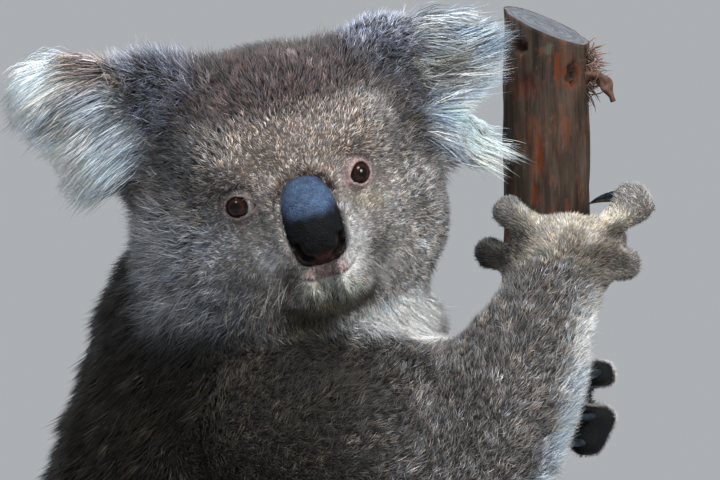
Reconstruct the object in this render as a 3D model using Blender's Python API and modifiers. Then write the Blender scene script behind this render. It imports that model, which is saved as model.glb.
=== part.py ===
"""A life-size koala clinging to a sawn-off branch on a plain display stand, looking over its right shoulder.

Metres, +Z up. The origin is the middle of the base's underside. The koala faces +X, towards the perch,
with its back to -X. Its head is turned to its right, so that it faces -Y. The solids are the outer shape
of the coat.
The flesh is modelled whole, from blobs and tapered limbs that are fused and smoothed, and is then parted
into its named pieces by hulls drawn round the blobs of each piece.
"""

import math

import bmesh
import bpy
from mathutils import Matrix, Vector

# Stand and perch
BASE_LENGTH = 0.320
BASE_WIDTH = 0.280
BASE_THICKNESS = 0.018
BASE_CORNER = 0.060
BASE_EDGE = 0.004
ROD_RADIUS = 0.008
PERCH_FOOT_Z = 0.052
PERCH_TOP_Z = 0.594
PERCH_TOP_X = 0.1088
PERCH_LOW_X = 0.076
PERCH_Y = 0.012
PERCH_BEND_TOP_Z = 0.470
PERCH_BEND_HEIGHT = 0.150
PERCH_TOP_RADIUS = 0.0205
PERCH_FOOT_RADIUS = 0.0240
PERCH_STATIONS = 16
PERCH_CUT_TILT = math.radians(22)
PERCH_CUT_FORWARD = math.radians(7)

# How the solids meet
GAP = 0.0003
PARTING_GAP = 0.00045
REGION_MARGIN = 0.004
NECK_MARGIN = 0.012

# Making of the flesh
VOXEL = 0.0030
SMOOTHING_PASSES = 7
FLESH_TRIANGLES = 2500
REGION_TRIANGLES = 48
NOSE_TRIANGLES = 280

# The head's own frame: X to the koala's left, -Y forwards, Z up, turned as the koala holds it
HEAD_CENTRE = Vector((-0.0154, -0.034, 0.5075))
HEAD_YAW = math.radians(10)
HEAD_PITCH = math.radians(10)
HEAD_ROLL = math.radians(-16)
HEAD_PLACE = (
    Matrix.Translation(HEAD_CENTRE)
    @ Matrix.Rotation(HEAD_YAW, 4, "Z")
    @ Matrix.Rotation(HEAD_PITCH, 4, "X")
    @ Matrix.Rotation(HEAD_ROLL, 4, "Y")
)
EYE_RADIUS = 0.0085
EYE_X = 0.0270
EYE_FORWARD = 0.0445
EYE_Z = 0.0098
EYE_SEGMENTS = 14

BODY_Y = 0.005

# Where the limbs bend, and the middles of the palms and soles
JOINTS = {
    "right": {
        "shoulder": (-0.022, -0.054, 0.390),
        "elbow": (0.059, -0.078, 0.355),
        "crook": (0.050, -0.058, 0.400),
        "wrist": (0.110, -0.033, 0.460),
        "palm": (0.116, -0.028, 0.476),
        "hip": (-0.052, -0.060, 0.160),
        "knee": (0.022, -0.106, 0.222),
        "ankle": (0.066, -0.050, 0.156),
        "sole": (0.074, -0.027, 0.152),
    },
    "left": {
        "shoulder": (-0.022, 0.062, 0.390),
        "elbow": (0.053, 0.088, 0.337),
        "crook": (0.044, 0.064, 0.376),
        "wrist": (0.102, 0.058, 0.396),
        "palm": (0.105, 0.050, 0.404),
        "hip": (-0.052, 0.070, 0.150),
        "knee": (0.022, 0.122, 0.196),
        "ankle": (0.066, 0.072, 0.126),
        "sole": (0.074, 0.051, 0.116),
    },
}
BOW = 0.007
UPPER_ARM_RADII = (0.053, 0.051, 0.047, 0.041)
CROOK_RADII = (0.044, 0.034, 0.041)
FOREARM_RADII = (0.041, 0.044, 0.039, 0.025)
PALM_RADII = (0.027, 0.018, 0.024)
THIGH_RADII = (0.058, 0.055, 0.049, 0.038)
SHANK_RADII = (0.037, 0.034, 0.030, 0.024)
SOLE_RADII = (0.024, 0.017, 0.026)
FINGER_RADII = (0.0090, 0.0078, 0.0100)
TOE_RADII = (0.0105, 0.0096, 0.0096)
KNUCKLE_LIFT = 0.006

CLAW_RADIUS = 0.0030
CLAW_TIP_RADIUS = 0.0006
CLAW_POINTS = 4
CLAW_CLEARANCE = 0.0015
CLAW_BULGE = 0.0055

# Each digit's tip: how far along X and out in Y it lies from the branch's middle, and how high over the palm.
# Then how many degrees further round the branch its claw's point lies, and how far the claw arches upwards.
# Digits 1 and 2 of a hand close on the other side of the branch from digits 3 to 5. The big toe has no claw.
DIGITS = {
    "hand_right": [
        (-0.0278, -0.028, 0.003, 34, 0.001),
        (-0.0182, -0.034, 0.0225, 40, 0.003),
        (0.0440, -0.030, 0.0265, 4, 0.005),
        (0.0310, -0.006, 0.011, 30, 0.002),
        (0.0385, -0.026, -0.002, 34, 0.002),
    ],
    "hand_left": [
        (-0.0273, 0.026, -0.006, 34, 0.001),
        (-0.0300, 0.026, 0.023, 34, 0.002),
        (0.0375, 0.024, 0.0150, 30, 0.002),
        (0.0440, 0.024, -0.006, 26, 0.001),
        (0.0420, 0.023, -0.018, 26, 0.000),
    ],
}
for paw_side, outward in (("right", -1), ("left", 1)):
    DIGITS["foot_" + paw_side] = [
        (-0.0360, outward * 0.026, -0.006),
        (-0.0200, outward * 0.030, 0.040, 30, 0.003),
        (-0.0060, outward * 0.033, 0.046, 30, 0.004),
        (0.0200, outward * 0.028, 0.044, 34, 0.003),
        (0.0350, outward * 0.018, 0.020, 30, 0.001),
    ]

parts = None
helpers = None


# ---------------------------------------------------------------- scene and materials


def clear_scene():
    for obj in list(bpy.data.objects):
        bpy.data.objects.remove(obj, do_unlink=True)


def new_collection(name):
    collection = bpy.data.collections.new(name)
    bpy.context.scene.collection.children.link(collection)
    return collection


def material(name, colour, roughness, metallic=0.0):
    made = bpy.data.materials.new(name)
    made.use_nodes = True
    shader = made.node_tree.nodes["Principled BSDF"]
    shader.inputs["Base Color"].default_value = (*colour, 1.0)
    shader.inputs["Roughness"].default_value = roughness
    shader.inputs["Metallic"].default_value = metallic
    return made


# The colour, roughness and metallic value of each sub-part, by the first words of its name
LOOKS = {
    "ear": ((0.42, 0.40, 0.38), 0.90),
    "head": ((0.20, 0.17, 0.15), 0.90),
    "neck": ((0.17, 0.15, 0.14), 0.90),
    "torso": ((0.09, 0.08, 0.075), 0.90),
    "upper_arm": ((0.12, 0.11, 0.10), 0.90),
    "forearm": ((0.20, 0.18, 0.17), 0.90),
    "hand": ((0.36, 0.29, 0.22), 0.90),
    "thigh": ((0.11, 0.10, 0.095), 0.90),
    "shank": ((0.18, 0.16, 0.15), 0.90),
    "foot": ((0.30, 0.25, 0.20), 0.90),
    "nose": ((0.020, 0.022, 0.028), 0.45),
    "eye": ((0.050, 0.020, 0.010), 0.05),
    "claw": ((0.030, 0.030, 0.035), 0.30),
    "perch": ((0.19, 0.12, 0.08), 0.90),
    "stand_base": ((0.20, 0.12, 0.07), 0.50),
    "stand_rod": ((0.55, 0.55, 0.56), 0.35, 1.0),
}


def finish(obj):
    """Gives a sub-part its own material, and shades it smooth."""
    kind = next(k for k in LOOKS if obj.name.startswith(k))
    obj.data.materials.clear()
    obj.data.materials.append(material(obj.name, *LOOKS[kind]))
    obj.data.shade_smooth()
    obj.data.set_sharp_from_angle(angle=math.radians(40))


# ---------------------------------------------------------------- making shapes


def object_from(bm, name, collection):
    mesh = bpy.data.meshes.new(name)
    bm.to_mesh(mesh)
    bm.free()
    obj = bpy.data.objects.new(name, mesh)
    collection.objects.link(obj)
    return obj


def helper(obj):
    obj.hide_render = True
    obj.display_type = "WIRE"
    return obj


def bake(obj):
    """Replaces the object's modifiers by the mesh that they make."""
    graph = bpy.context.evaluated_depsgraph_get()
    mesh = bpy.data.meshes.new_from_object(obj.evaluated_get(graph))
    obj.modifiers.clear()
    obj.data = mesh
    return obj


def discard(obj):
    bpy.data.objects.remove(obj, do_unlink=True)


def blob(centre, radii, place=Matrix.Identity(4), turn=(0.0, 0.0, 0.0), segments=28):
    """A closed ellipsoid. turn is in degrees, about its own X, Y and Z."""
    bm = bmesh.new()
    bmesh.ops.create_uvsphere(bm, u_segments=segments, v_segments=segments // 2, radius=1.0)
    matrix = place @ Matrix.Translation(centre)
    for axis, angle in zip("ZYX", reversed(turn)):
        matrix = matrix @ Matrix.Rotation(math.radians(angle), 4, axis)
    matrix = matrix @ Matrix.Diagonal((*radii, 1.0))
    bmesh.ops.transform(bm, matrix=matrix, verts=bm.verts)
    return object_from(bm, "blob", helpers)


def solid_from(curve, name, collection):
    """A closed mesh object from a curve with a thickness."""
    tube = bpy.data.objects.new(name, curve)
    helpers.objects.link(tube)
    graph = bpy.context.evaluated_depsgraph_get()
    mesh = bpy.data.meshes.new_from_object(tube.evaluated_get(graph))
    discard(tube)
    solid = bpy.data.objects.new(name, mesh)
    collection.objects.link(solid)
    weld(solid)
    return solid


def limb(points, radii, steps=4):
    """A round tapered limb along a smooth line, with a ball at each end."""
    curve = bpy.data.curves.new("limb", "CURVE")
    curve.dimensions = "3D"
    curve.bevel_depth = 1.0
    curve.bevel_resolution = 6
    curve.resolution_u = steps
    curve.use_fill_caps = True
    spline = curve.splines.new("NURBS")
    spline.points.add(len(points) - 1)
    for point, where, radius in zip(spline.points, points, radii):
        point.co = (*where, 1.0)
        point.radius = radius
    spline.use_endpoint_u = True
    spline.order_u = min(4, len(points))
    tube = solid_from(curve, "limb", helpers)
    ends = [blob(points[i], (radii[i],) * 3, segments=20) for i in (0, -1)]
    return [tube, *ends]


def weld(obj, distance=0.00005):
    bm = bmesh.new()
    bm.from_mesh(obj.data)
    bmesh.ops.remove_doubles(bm, verts=bm.verts, dist=distance)
    bmesh.ops.recalc_face_normals(bm, faces=bm.faces)
    bm.to_mesh(obj.data)
    bm.free()


def points_of(objects):
    return [obj.matrix_world @ vertex.co for obj in objects for vertex in obj.data.vertices]


def hull(objects, margin, name="hull"):
    """A convex solid round these objects, with a margin outside them."""
    bm = bmesh.new()
    for point in points_of(objects):
        bm.verts.new(point)
    made = bmesh.ops.convex_hull(bm, input=bm.verts)
    loose = [v for v in made["geom_interior"] + made["geom_unused"] if isinstance(v, bmesh.types.BMVert)]
    bmesh.ops.delete(bm, geom=list(set(loose)), context="VERTS")
    bmesh.ops.recalc_face_normals(bm, faces=bm.faces)
    round_it = helper(grown(object_from(bm, name, helpers), margin))
    simplify = round_it.modifiers.new("simplify", "DECIMATE")
    simplify.ratio = min(1.0, REGION_TRIANGLES / len(round_it.data.polygons))
    return bake(round_it)


def fused(objects, name, triangles, voxel=VOXEL, passes=SMOOTHING_PASSES):
    """One smooth closed skin round overlapping solids, with about this many triangles."""
    bm = bmesh.new()
    for obj in objects:
        bm.from_mesh(obj.data)
    whole = object_from(bm, name, helpers)
    remesh = whole.modifiers.new("fuse", "REMESH")
    remesh.mode = "VOXEL"
    remesh.voxel_size = voxel
    smooth = whole.modifiers.new("soften", "SMOOTH")
    smooth.factor = 0.5
    smooth.iterations = passes
    bake(whole)
    whole.data.calc_loop_triangles()
    simplify = whole.modifiers.new("simplify", "DECIMATE")
    simplify.use_collapse_triangulate = True
    simplify.ratio = min(1.0, triangles / max(1, len(whole.data.loop_triangles)))
    return bake(whole)


def grown(obj, distance):
    """Moves the surface of a closed mesh outwards."""
    bm = bmesh.new()
    bm.from_mesh(obj.data)
    bm.normal_update()
    for vertex in bm.verts:
        vertex.co += vertex.normal * distance
    bm.to_mesh(obj.data)
    bm.free()
    return obj


def copy_of(obj, name, collection):
    twin = bpy.data.objects.new(name, obj.data.copy())
    collection.objects.link(twin)
    return twin


def boolean(obj, cutter, operation):
    cut = obj.modifiers.new("cut", "BOOLEAN")
    cut.operation = operation
    cut.object = cutter
    bake(obj)
    weld(obj, 0.00002)
    return obj


def keep_largest(obj):
    """Drops the small loose bits that a cut leaves beside the main body."""
    bm = bmesh.new()
    bm.from_mesh(obj.data)
    left = set(bm.verts)
    islands = []
    while left:
        front = [left.pop()]
        island = list(front)
        while front:
            near = {e.other_vert(v) for v in front for e in v.link_edges} & left
            left -= near
            front = list(near)
            island += front
        islands.append(island)
    islands.sort(key=len)
    for island in islands[:-1]:
        bmesh.ops.delete(bm, geom=island, context="VERTS")
    bm.to_mesh(obj.data)
    bm.free()
    return obj


# ---------------------------------------------------------------- perch and stand


def perch_x(z):
    """The branch stands upright at the top and below, and steps back under the chest in between."""
    share = min(1.0, max(0.0, (PERCH_BEND_TOP_Z - z) / PERCH_BEND_HEIGHT))
    return PERCH_TOP_X - (PERCH_TOP_X - PERCH_LOW_X) * share * share * (3 - 2 * share)


def perch_radius(z):
    share = (z - PERCH_FOOT_Z) / (PERCH_TOP_Z - PERCH_FOOT_Z)
    return PERCH_FOOT_RADIUS + (PERCH_TOP_RADIUS - PERCH_FOOT_RADIUS) * share


def make_perch(name, grow=0.0, collection=None):
    """The branch as a tapered tube, sawn square below and aslant at the top."""
    over = 0.02
    curve = bpy.data.curves.new(name, "CURVE")
    curve.dimensions = "3D"
    curve.bevel_depth = 1.0
    curve.bevel_resolution = 4
    curve.use_fill_caps = True
    spline = curve.splines.new("POLY")
    spline.points.add(PERCH_STATIONS - 1)
    top = PERCH_TOP_Z + over
    for i, point in enumerate(spline.points):
        z = PERCH_FOOT_Z + (top - PERCH_FOOT_Z) * i / (PERCH_STATIONS - 1)
        point.co = (perch_x(z), PERCH_Y, z, 1.0)
        point.radius = perch_radius(z) + grow
    solid = solid_from(curve, name, collection or helpers)
    saw = bmesh.new()
    bmesh.ops.create_cube(saw, size=0.2)
    tilt = Matrix.Rotation(PERCH_CUT_TILT, 4, "Y") @ Matrix.Rotation(PERCH_CUT_FORWARD, 4, "X")
    lift = Matrix.Translation((PERCH_TOP_X, PERCH_Y, PERCH_TOP_Z - 0.004 + grow)) @ tilt
    bmesh.ops.transform(saw, matrix=lift @ Matrix.Translation((0, 0, 0.1)), verts=saw.verts)
    cutter = helper(object_from(saw, "saw", helpers))
    boolean(solid, cutter, "DIFFERENCE")
    return solid


def make_stand():
    bm = bmesh.new()
    bmesh.ops.create_cube(bm, size=1.0)
    size = Matrix.Diagonal((BASE_LENGTH, BASE_WIDTH, BASE_THICKNESS, 1.0))
    bmesh.ops.transform(bm, matrix=Matrix.Translation((0, 0, BASE_THICKNESS / 2)) @ size, verts=bm.verts)
    upright = [e for e in bm.edges if abs(e.verts[0].co.z - e.verts[1].co.z) > BASE_THICKNESS / 2]
    bmesh.ops.bevel(bm, geom=upright, offset=BASE_CORNER, segments=5, affect="EDGES", profile=0.5)
    rim = [e for e in bm.edges if min(v.co.z for v in e.verts) > BASE_THICKNESS - 1e-5]
    bmesh.ops.bevel(bm, geom=rim, offset=BASE_EDGE, segments=2, affect="EDGES", profile=0.5)
    object_from(bm, "stand_base", parts)
    foot, head = BASE_THICKNESS + GAP, PERCH_FOOT_Z - GAP
    bm = bmesh.new()
    bmesh.ops.create_cone(
        bm, cap_ends=True, segments=24, radius1=ROD_RADIUS, radius2=ROD_RADIUS, depth=head - foot
    )
    middle = (perch_x(PERCH_FOOT_Z), PERCH_Y, (foot + head) / 2)
    bmesh.ops.translate(bm, vec=middle, verts=bm.verts)
    object_from(bm, "stand_rod", parts)


# ---------------------------------------------------------------- the animal's masses


def head_masses():
    def mass(centre, radii, turn=(0, 0, 0)):
        return blob(centre, radii, HEAD_PLACE, turn)

    masses = [
        mass((-0.002, 0.004, 0.010), (0.073, 0.058, 0.067)),
        mass((0, -0.046, -0.012), (0.029, 0.031, 0.025)),
        mass((0, -0.050, -0.031), (0.026, 0.025, 0.020)),
        mass((0, -0.018, -0.032), (0.046, 0.042, 0.030)),
        mass((0, -0.034, 0.026), (0.026, 0.024, 0.026)),
    ]
    for side in (-1, 1):
        masses += [
            mass((side * 0.041 - 0.002, -0.012, -0.020), (0.038, 0.038, 0.038)),
            mass((side * 0.030, -0.030, 0.030), (0.026, 0.024, 0.022)),
            mass((side * 0.028, -0.040, -0.016), (0.020, 0.020, 0.018)),
        ]
    return masses


def nose_masses():
    """The bare nose, from its bridge down to the nostrils."""
    heights = (0.0065, -0.0020, -0.0110)
    asides = (-0.0028, -0.0020, -0.0012)
    forwards = (0.0600, 0.0650, 0.0690)
    widths = (0.0135, 0.0150, 0.0125)
    depths = (0.0120, 0.0130, 0.0112)
    return [
        blob((x, -forward, z), (width, depth, 0.0105), HEAD_PLACE, segments=20)
        for x, forward, z, width, depth in zip(asides, forwards, heights, widths, depths)
    ]


def ear_masses(side):
    """Round, fluffy ears. The right one, at -X in the head's frame, is held high and the left one droops."""
    if side < 0:
        base = blob((-0.051, 0.006, 0.060), (0.029, 0.024, 0.028), HEAD_PLACE)
        flap = blob((-0.085, 0.010, 0.058), (0.040, 0.016, 0.036), HEAD_PLACE, (0, 0, -20))
    else:
        base = blob((0.060, 0.006, 0.048), (0.028, 0.024, 0.030), HEAD_PLACE)
        flap = blob((0.092, 0.010, 0.030), (0.031, 0.016, 0.040), HEAD_PLACE, (0, 24, 20))
    return [base, flap]


def torso_masses():
    """A pear-shaped body, wider and heavier towards the rump."""
    heights = (0.424, 0.386, 0.336, 0.270, 0.210, 0.168)
    forwards = (-0.034, -0.039, -0.047, -0.055, -0.056, -0.052)
    spine = [(x, BODY_Y, z) for x, z in zip(forwards, heights)]
    return [
        *limb(spine, (0.083, 0.091, 0.101, 0.106, 0.106, 0.096), steps=6),
        blob((-0.050, BODY_Y, 0.180), (0.092, 0.112, 0.092)),
    ]


def neck_masses():
    return [
        blob((-0.032, -0.002, 0.452), (0.077, 0.074, 0.056)),
        blob((0.014, -0.016, 0.442), (0.048, 0.050, 0.040)),
    ]


def limb_masses():
    """The masses of each limb piece, by the name of its node."""
    groups = {}
    for side, at in JOINTS.items():
        bow = Vector((0, BOW if side == "left" else -BOW, 0))
        groups["upper_arm_" + side] = [
            *limb(bowed(at["shoulder"], at["elbow"], bow), UPPER_ARM_RADII),
            blob(at["crook"], CROOK_RADII),
        ]
        groups["forearm_" + side] = limb(bowed(at["elbow"], at["wrist"], bow), FOREARM_RADII)
        groups["hand_" + side] = paw_masses("hand_" + side, PALM_RADII, FINGER_RADII)
        groups["thigh_" + side] = limb(bowed(at["hip"], at["knee"], bow), THIGH_RADII)
        groups["shank_" + side] = limb(bowed(at["knee"], at["ankle"], bow), SHANK_RADII)
        groups["foot_" + side] = paw_masses("foot_" + side, SOLE_RADII, TOE_RADII)
    return groups


def bowed(start, end, bow):
    """Four points from one joint to the next, along an arc that bows outwards."""
    start, end = Vector(start), Vector(end)
    return [start.lerp(end, i / 3) + bow * math.sin(math.pi * i / 3) for i in range(4)]


def palm_of(paw):
    kind, side = paw.split("_")
    return Vector(JOINTS[side]["palm" if kind == "hand" else "sole"])


def digit_points(paw, digit):
    """The root, knuckle and tip of a digit."""
    along, out, rise = digit[:3]
    palm = palm_of(paw)
    height = palm.z + rise
    tip = Vector((perch_x(height) + along, PERCH_Y + out, height))
    lift = Vector((0, math.copysign(KNUCKLE_LIFT, out), 0))
    return palm.lerp(tip, 0.35), palm.lerp(tip, 0.68) + lift, tip


def claw_points(paw, digit):
    """The root, the middle and the point of a claw, which bends back to the bark."""
    along, out, _, hook, arch = digit
    tip = digit_points(paw, digit)[2]
    axis = Vector((perch_x(tip.z), PERCH_Y, tip.z))
    spoke = (tip - axis).normalized()
    onward = Matrix.Rotation(math.radians(-math.copysign(hook, out * along)), 3, "Z") @ spoke
    point = axis + onward * (perch_radius(tip.z) + CLAW_CLEARANCE)
    middle = (tip + point) / 2 + (spoke + onward).normalized() * CLAW_BULGE + Vector((0, 0, arch))
    return tip.lerp(middle, 0.35), middle, point


def paw_masses(paw, radii, digit_radii):
    """A palm or sole and its digits."""
    masses = [blob(palm_of(paw), radii)]
    for digit in DIGITS[paw]:
        masses += limb(digit_points(paw, digit), digit_radii, steps=3)
    return masses


# ---------------------------------------------------------------- eyes and claws


def make_eye(name, side, grow=0.0, collection=None):
    bm = bmesh.new()
    rings = EYE_SEGMENTS // 2 + 1
    bmesh.ops.create_uvsphere(bm, u_segments=EYE_SEGMENTS, v_segments=rings, radius=EYE_RADIUS + grow)
    place = HEAD_PLACE @ Matrix.Translation((side * EYE_X, -EYE_FORWARD, EYE_Z))
    bmesh.ops.transform(bm, matrix=place, verts=bm.verts)
    return object_from(bm, name, collection or parts)


def make_claw(name, paw, digit, grow=0.0, collection=None):
    """A curved claw that grows out of the digit's tip and hooks the bark."""
    root, middle, point = claw_points(paw, digit)
    curve = bpy.data.curves.new(name, "CURVE")
    curve.dimensions = "3D"
    curve.bevel_depth = 1.0
    curve.bevel_resolution = 1
    curve.use_fill_caps = True
    spline = curve.splines.new("POLY")
    spline.points.add(CLAW_POINTS - 1)
    for i, where in enumerate(spline.points):
        share = i / (CLAW_POINTS - 1)
        arc = root * (1 - share) ** 2 + middle * 2 * share * (1 - share) + point * share**2
        where.co = (*arc, 1.0)
        where.radius = CLAW_RADIUS + (CLAW_TIP_RADIUS - CLAW_RADIUS) * share + grow
    return solid_from(curve, name, collection or parts)


# ---------------------------------------------------------------- parting the whole


def part_off(rest, region, name):
    """Takes the share of rest inside region as its own piece, and leaves a thin gap between the two."""
    piece = copy_of(rest, name, parts)
    boolean(piece, region, "INTERSECT")
    keep_largest(piece)
    wider = helper(grown(copy_of(region, "wider", helpers), PARTING_GAP))
    boolean(rest, wider, "DIFFERENCE")
    keep_largest(rest)
    return piece


PARTING_ORDER = ["hand", "forearm", "upper_arm", "foot", "shank", "thigh"]


def build():
    global parts, helpers
    clear_scene()
    parts = new_collection("koala")
    helpers = new_collection("helpers")

    make_perch("perch_branch", collection=parts)
    perch_cutter = helper(make_perch("perch_cutter", grow=GAP))
    make_stand()

    groups = limb_masses()
    groups["ear_right"] = ear_masses(-1)
    groups["ear_left"] = ear_masses(1)
    groups["head"] = head_masses()
    groups["neck"] = neck_masses()
    groups["torso"] = torso_masses()
    everything = [mass for masses in groups.values() for mass in masses]
    whole = helper(fused(everything, "whole", FLESH_TRIANGLES))
    boolean(whole, perch_cutter, "DIFFERENCE")
    keep_largest(whole)

    nose_shape = fused(nose_masses(), "nose_shape", NOSE_TRIANGLES, voxel=0.0012, passes=6)
    copy_of(nose_shape, "nose", parts)
    boolean(whole, helper(grown(nose_shape, GAP)), "DIFFERENCE")
    for word, side in (("right", -1), ("left", 1)):
        make_eye("eye_" + word, side)
        boolean(whole, helper(make_eye("socket", side, GAP, helpers)), "DIFFERENCE")
    for paw, digits in DIGITS.items():
        for number, digit in enumerate(digits, start=1):
            if len(digit) == 3:
                continue
            boolean(make_claw(f"claw_{paw}_{number}", paw, digit), perch_cutter, "DIFFERENCE")
            boolean(whole, helper(make_claw("bed", paw, digit, GAP, helpers)), "DIFFERENCE")
    keep_largest(whole)

    names = [f"{kind}_{side}" for kind in PARTING_ORDER for side in ("right", "left")]
    for name in [*names, "ear_right", "ear_left", "head", "neck"]:
        margin = NECK_MARGIN if name == "neck" else REGION_MARGIN
        part_off(whole, hull(groups[name], margin, "region_" + name), name)
    copy_of(whole, "torso", parts)

    for obj in list(helpers.objects):
        discard(obj)
    bpy.data.collections.remove(helpers)
    for obj in parts.objects:
        finish(obj)


build()
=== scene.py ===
"""A koala that holds a length of tree trunk, on a display stand: a still, life-size museum model.

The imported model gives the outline, to the tips of the coat. Here one skin replaces the solids of
the flesh and lies inside them by the coat's depth, and solid tufts grow from it and follow the lie
of the coat. The nose, the eyes, the claws, the trunk and the stand are finished after it.

Metres, +Z up. The koala faces +X, towards the trunk, and turns its face towards -Y. "Head frame"
means axes that turn with the head: +X to the animal's left ear, -Y out through its nose and +Z to
its crown.
"""

import math

import bmesh
import bpy
import numpy as np
from mathutils import Matrix, Vector, kdtree, noise
from mathutils.bvhtree import BVHTree


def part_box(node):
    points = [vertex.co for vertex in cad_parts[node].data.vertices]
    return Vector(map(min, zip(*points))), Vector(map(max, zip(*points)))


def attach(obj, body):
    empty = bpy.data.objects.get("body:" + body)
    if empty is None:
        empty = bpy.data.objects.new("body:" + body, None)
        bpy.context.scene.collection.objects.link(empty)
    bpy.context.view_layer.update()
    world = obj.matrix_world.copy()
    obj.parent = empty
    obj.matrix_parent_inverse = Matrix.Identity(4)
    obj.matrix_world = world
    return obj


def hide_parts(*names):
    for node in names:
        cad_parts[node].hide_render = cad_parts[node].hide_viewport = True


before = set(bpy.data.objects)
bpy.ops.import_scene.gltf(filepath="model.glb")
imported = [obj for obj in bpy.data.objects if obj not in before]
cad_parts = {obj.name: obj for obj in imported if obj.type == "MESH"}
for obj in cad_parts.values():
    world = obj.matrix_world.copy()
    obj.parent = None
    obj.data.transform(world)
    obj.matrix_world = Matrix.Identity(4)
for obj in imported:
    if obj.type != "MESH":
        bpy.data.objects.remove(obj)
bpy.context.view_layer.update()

SEED = 20261

# -------------------- small helpers


def vector(*values):
    return np.array(values, float)


def smoothstep(low, high, value):
    """0 below low, 1 above high, and a smooth rise between them."""
    share = np.clip((value - low) / (high - low), 0.0, 1.0)
    return share * share * (3 - 2 * share)


def lerp(first, second, share):
    """Plain numbers: first where share is 0 and second where it is 1."""
    return first * (1 - share) + second * share


def mix(first, second, share):
    """Colours or points, a row each: first where share is 0 and second where it is 1."""
    share = np.asarray(share, float).reshape(-1, 1)
    return first * (1 - share) + second * share


def unit(rows):
    """Each row at length 1."""
    length = np.linalg.norm(rows, axis=-1, keepdims=True)
    return rows / np.maximum(length, 1e-12)


def along_surface(rows, normals):
    """Each row's part that lies along the surface, at length 1."""
    return unit(rows - normals * np.sum(rows * normals, axis=1, keepdims=True))


def bump(points, centre, radius):
    """1 at the centre, falling smoothly to 0. radius is one number, or one for each axis."""
    offset = (points - vector(*centre)) / radius
    return np.exp(-np.sum(offset * offset, axis=1))


def ridge(offset, width):
    """1 where the offset is 0, falling smoothly to 0 on both sides over about the width."""
    return np.exp(-((offset / width) ** 2))


def ripple(points, scale, seed):
    """A smooth field between about -1 and 1, its hills about scale metres apart, the same on each run."""
    rng = np.random.default_rng(seed)
    total = np.zeros(len(points))
    for _ in range(7):
        direction = unit(rng.normal(size=3))
        phase = rng.uniform(0, 2 * math.pi)
        total += np.sin(points @ direction * (2 * math.pi / scale) * rng.uniform(0.6, 1.5) + phase)
    return total / 3.2


def middle(node):
    low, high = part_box(node)
    return np.array((low + high) / 2)


# -------------------- the head's frame

HEAD_YAW = 10
HEAD_PITCH = 10
HEAD_ROLL = -16
EYE_FORWARD = 0.0445
EYE_HEIGHT = 0.0098


def head_turn():
    turn = Matrix.Rotation(math.radians(HEAD_YAW), 3, "Z")
    turn = turn @ Matrix.Rotation(math.radians(HEAD_PITCH), 3, "X")
    turn = turn @ Matrix.Rotation(math.radians(HEAD_ROLL), 3, "Y")
    return np.array(turn)


HEAD_TURN = head_turn()
EYE_PLACES = {"left": middle("eye_left"), "right": middle("eye_right")}
EYE_RADIUS = (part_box("eye_left")[1].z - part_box("eye_left")[0].z) / 2
EYES_FROM_CENTRE = HEAD_TURN @ vector(0, -EYE_FORWARD, EYE_HEIGHT)
HEAD_CENTRE = (EYE_PLACES["left"] + EYE_PLACES["right"]) / 2 - EYES_FROM_CENTRE


def to_head(points):
    return (points - HEAD_CENTRE) @ HEAD_TURN


def from_head(points):
    return np.asarray(points) @ HEAD_TURN.T + HEAD_CENTRE


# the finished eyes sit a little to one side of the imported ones
EYE_SHIFT = (-0.0013, 0.0, 0.0005)
EYES_IN_HEAD = {side: to_head(place) + vector(*EYE_SHIFT) for side, place in EYE_PLACES.items()}
SIDE_SIGN = {"left": 1.0, "right": -1.0}

# -------------------- the trunk's line

PERCH_LOW_X = 0.076
PERCH_TOP_X = 0.1088
PERCH_Y = 0.012
PERCH_BEND_TOP = 0.470
PERCH_BEND_HEIGHT = 0.150
PERCH_FOOT_Z = 0.052
PERCH_CUT_Z = 0.590
PERCH_TOP_RADIUS = 0.0205
PERCH_FOOT_RADIUS = 0.0240


def perch_x(z):
    share = smoothstep(PERCH_BEND_TOP, PERCH_BEND_TOP - PERCH_BEND_HEIGHT, z)
    return PERCH_TOP_X - (PERCH_TOP_X - PERCH_LOW_X) * share


def perch_radius(z):
    share = np.clip((PERCH_CUT_Z - z) / (PERCH_CUT_Z - PERCH_FOOT_Z), 0, 1)
    return PERCH_TOP_RADIUS + (PERCH_FOOT_RADIUS - PERCH_TOP_RADIUS) * share


def off_perch(points):
    """Level vectors from the trunk's middle line out to each point."""
    x, y, z = points.T
    return np.stack([x - perch_x(z), y - PERCH_Y, np.zeros(len(x))], axis=1)


# -------------------- mesh helpers


def mesh_from_arrays(name, points, faces):
    """A mesh from points and a list of face arrays, each with its own number of corners."""
    mesh = bpy.data.meshes.new(name)
    mesh.vertices.add(len(points))
    mesh.vertices.foreach_set("co", np.asarray(points, np.float32).ravel())
    corners = np.concatenate([np.asarray(group, np.int32).ravel() for group in faces])
    sizes = np.concatenate([np.full(len(group), group.shape[1], np.int32) for group in faces])
    mesh.loops.add(len(corners))
    mesh.loops.foreach_set("vertex_index", corners)
    mesh.polygons.add(len(sizes))
    mesh.polygons.foreach_set("loop_start", (np.cumsum(sizes) - sizes).astype(np.int32))
    mesh.update(calc_edges=True)
    mesh.polygons.foreach_set("use_smooth", np.ones(len(sizes), bool))
    return mesh


def point_colours(mesh, name, colours):
    """Keeps one colour for each vertex under that name."""
    layer = mesh.color_attributes.new(name, "FLOAT_COLOR", "POINT")
    rows = np.ones((len(colours), 4), np.float32)
    rows[:, :3] = np.clip(colours, 0, 1)
    layer.data.foreach_set("color", rows.ravel())


def rows_of(collection, item):
    """Three numbers of each of a mesh's items, a row each."""
    flat = np.empty(len(collection) * 3, np.float32)
    collection.foreach_get(item, flat)
    return flat.reshape(-1, 3).astype(float)


def points_of(mesh):
    return rows_of(mesh.vertices, "co")


def normals_of(mesh):
    return rows_of(mesh.vertex_normals, "vector")


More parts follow.
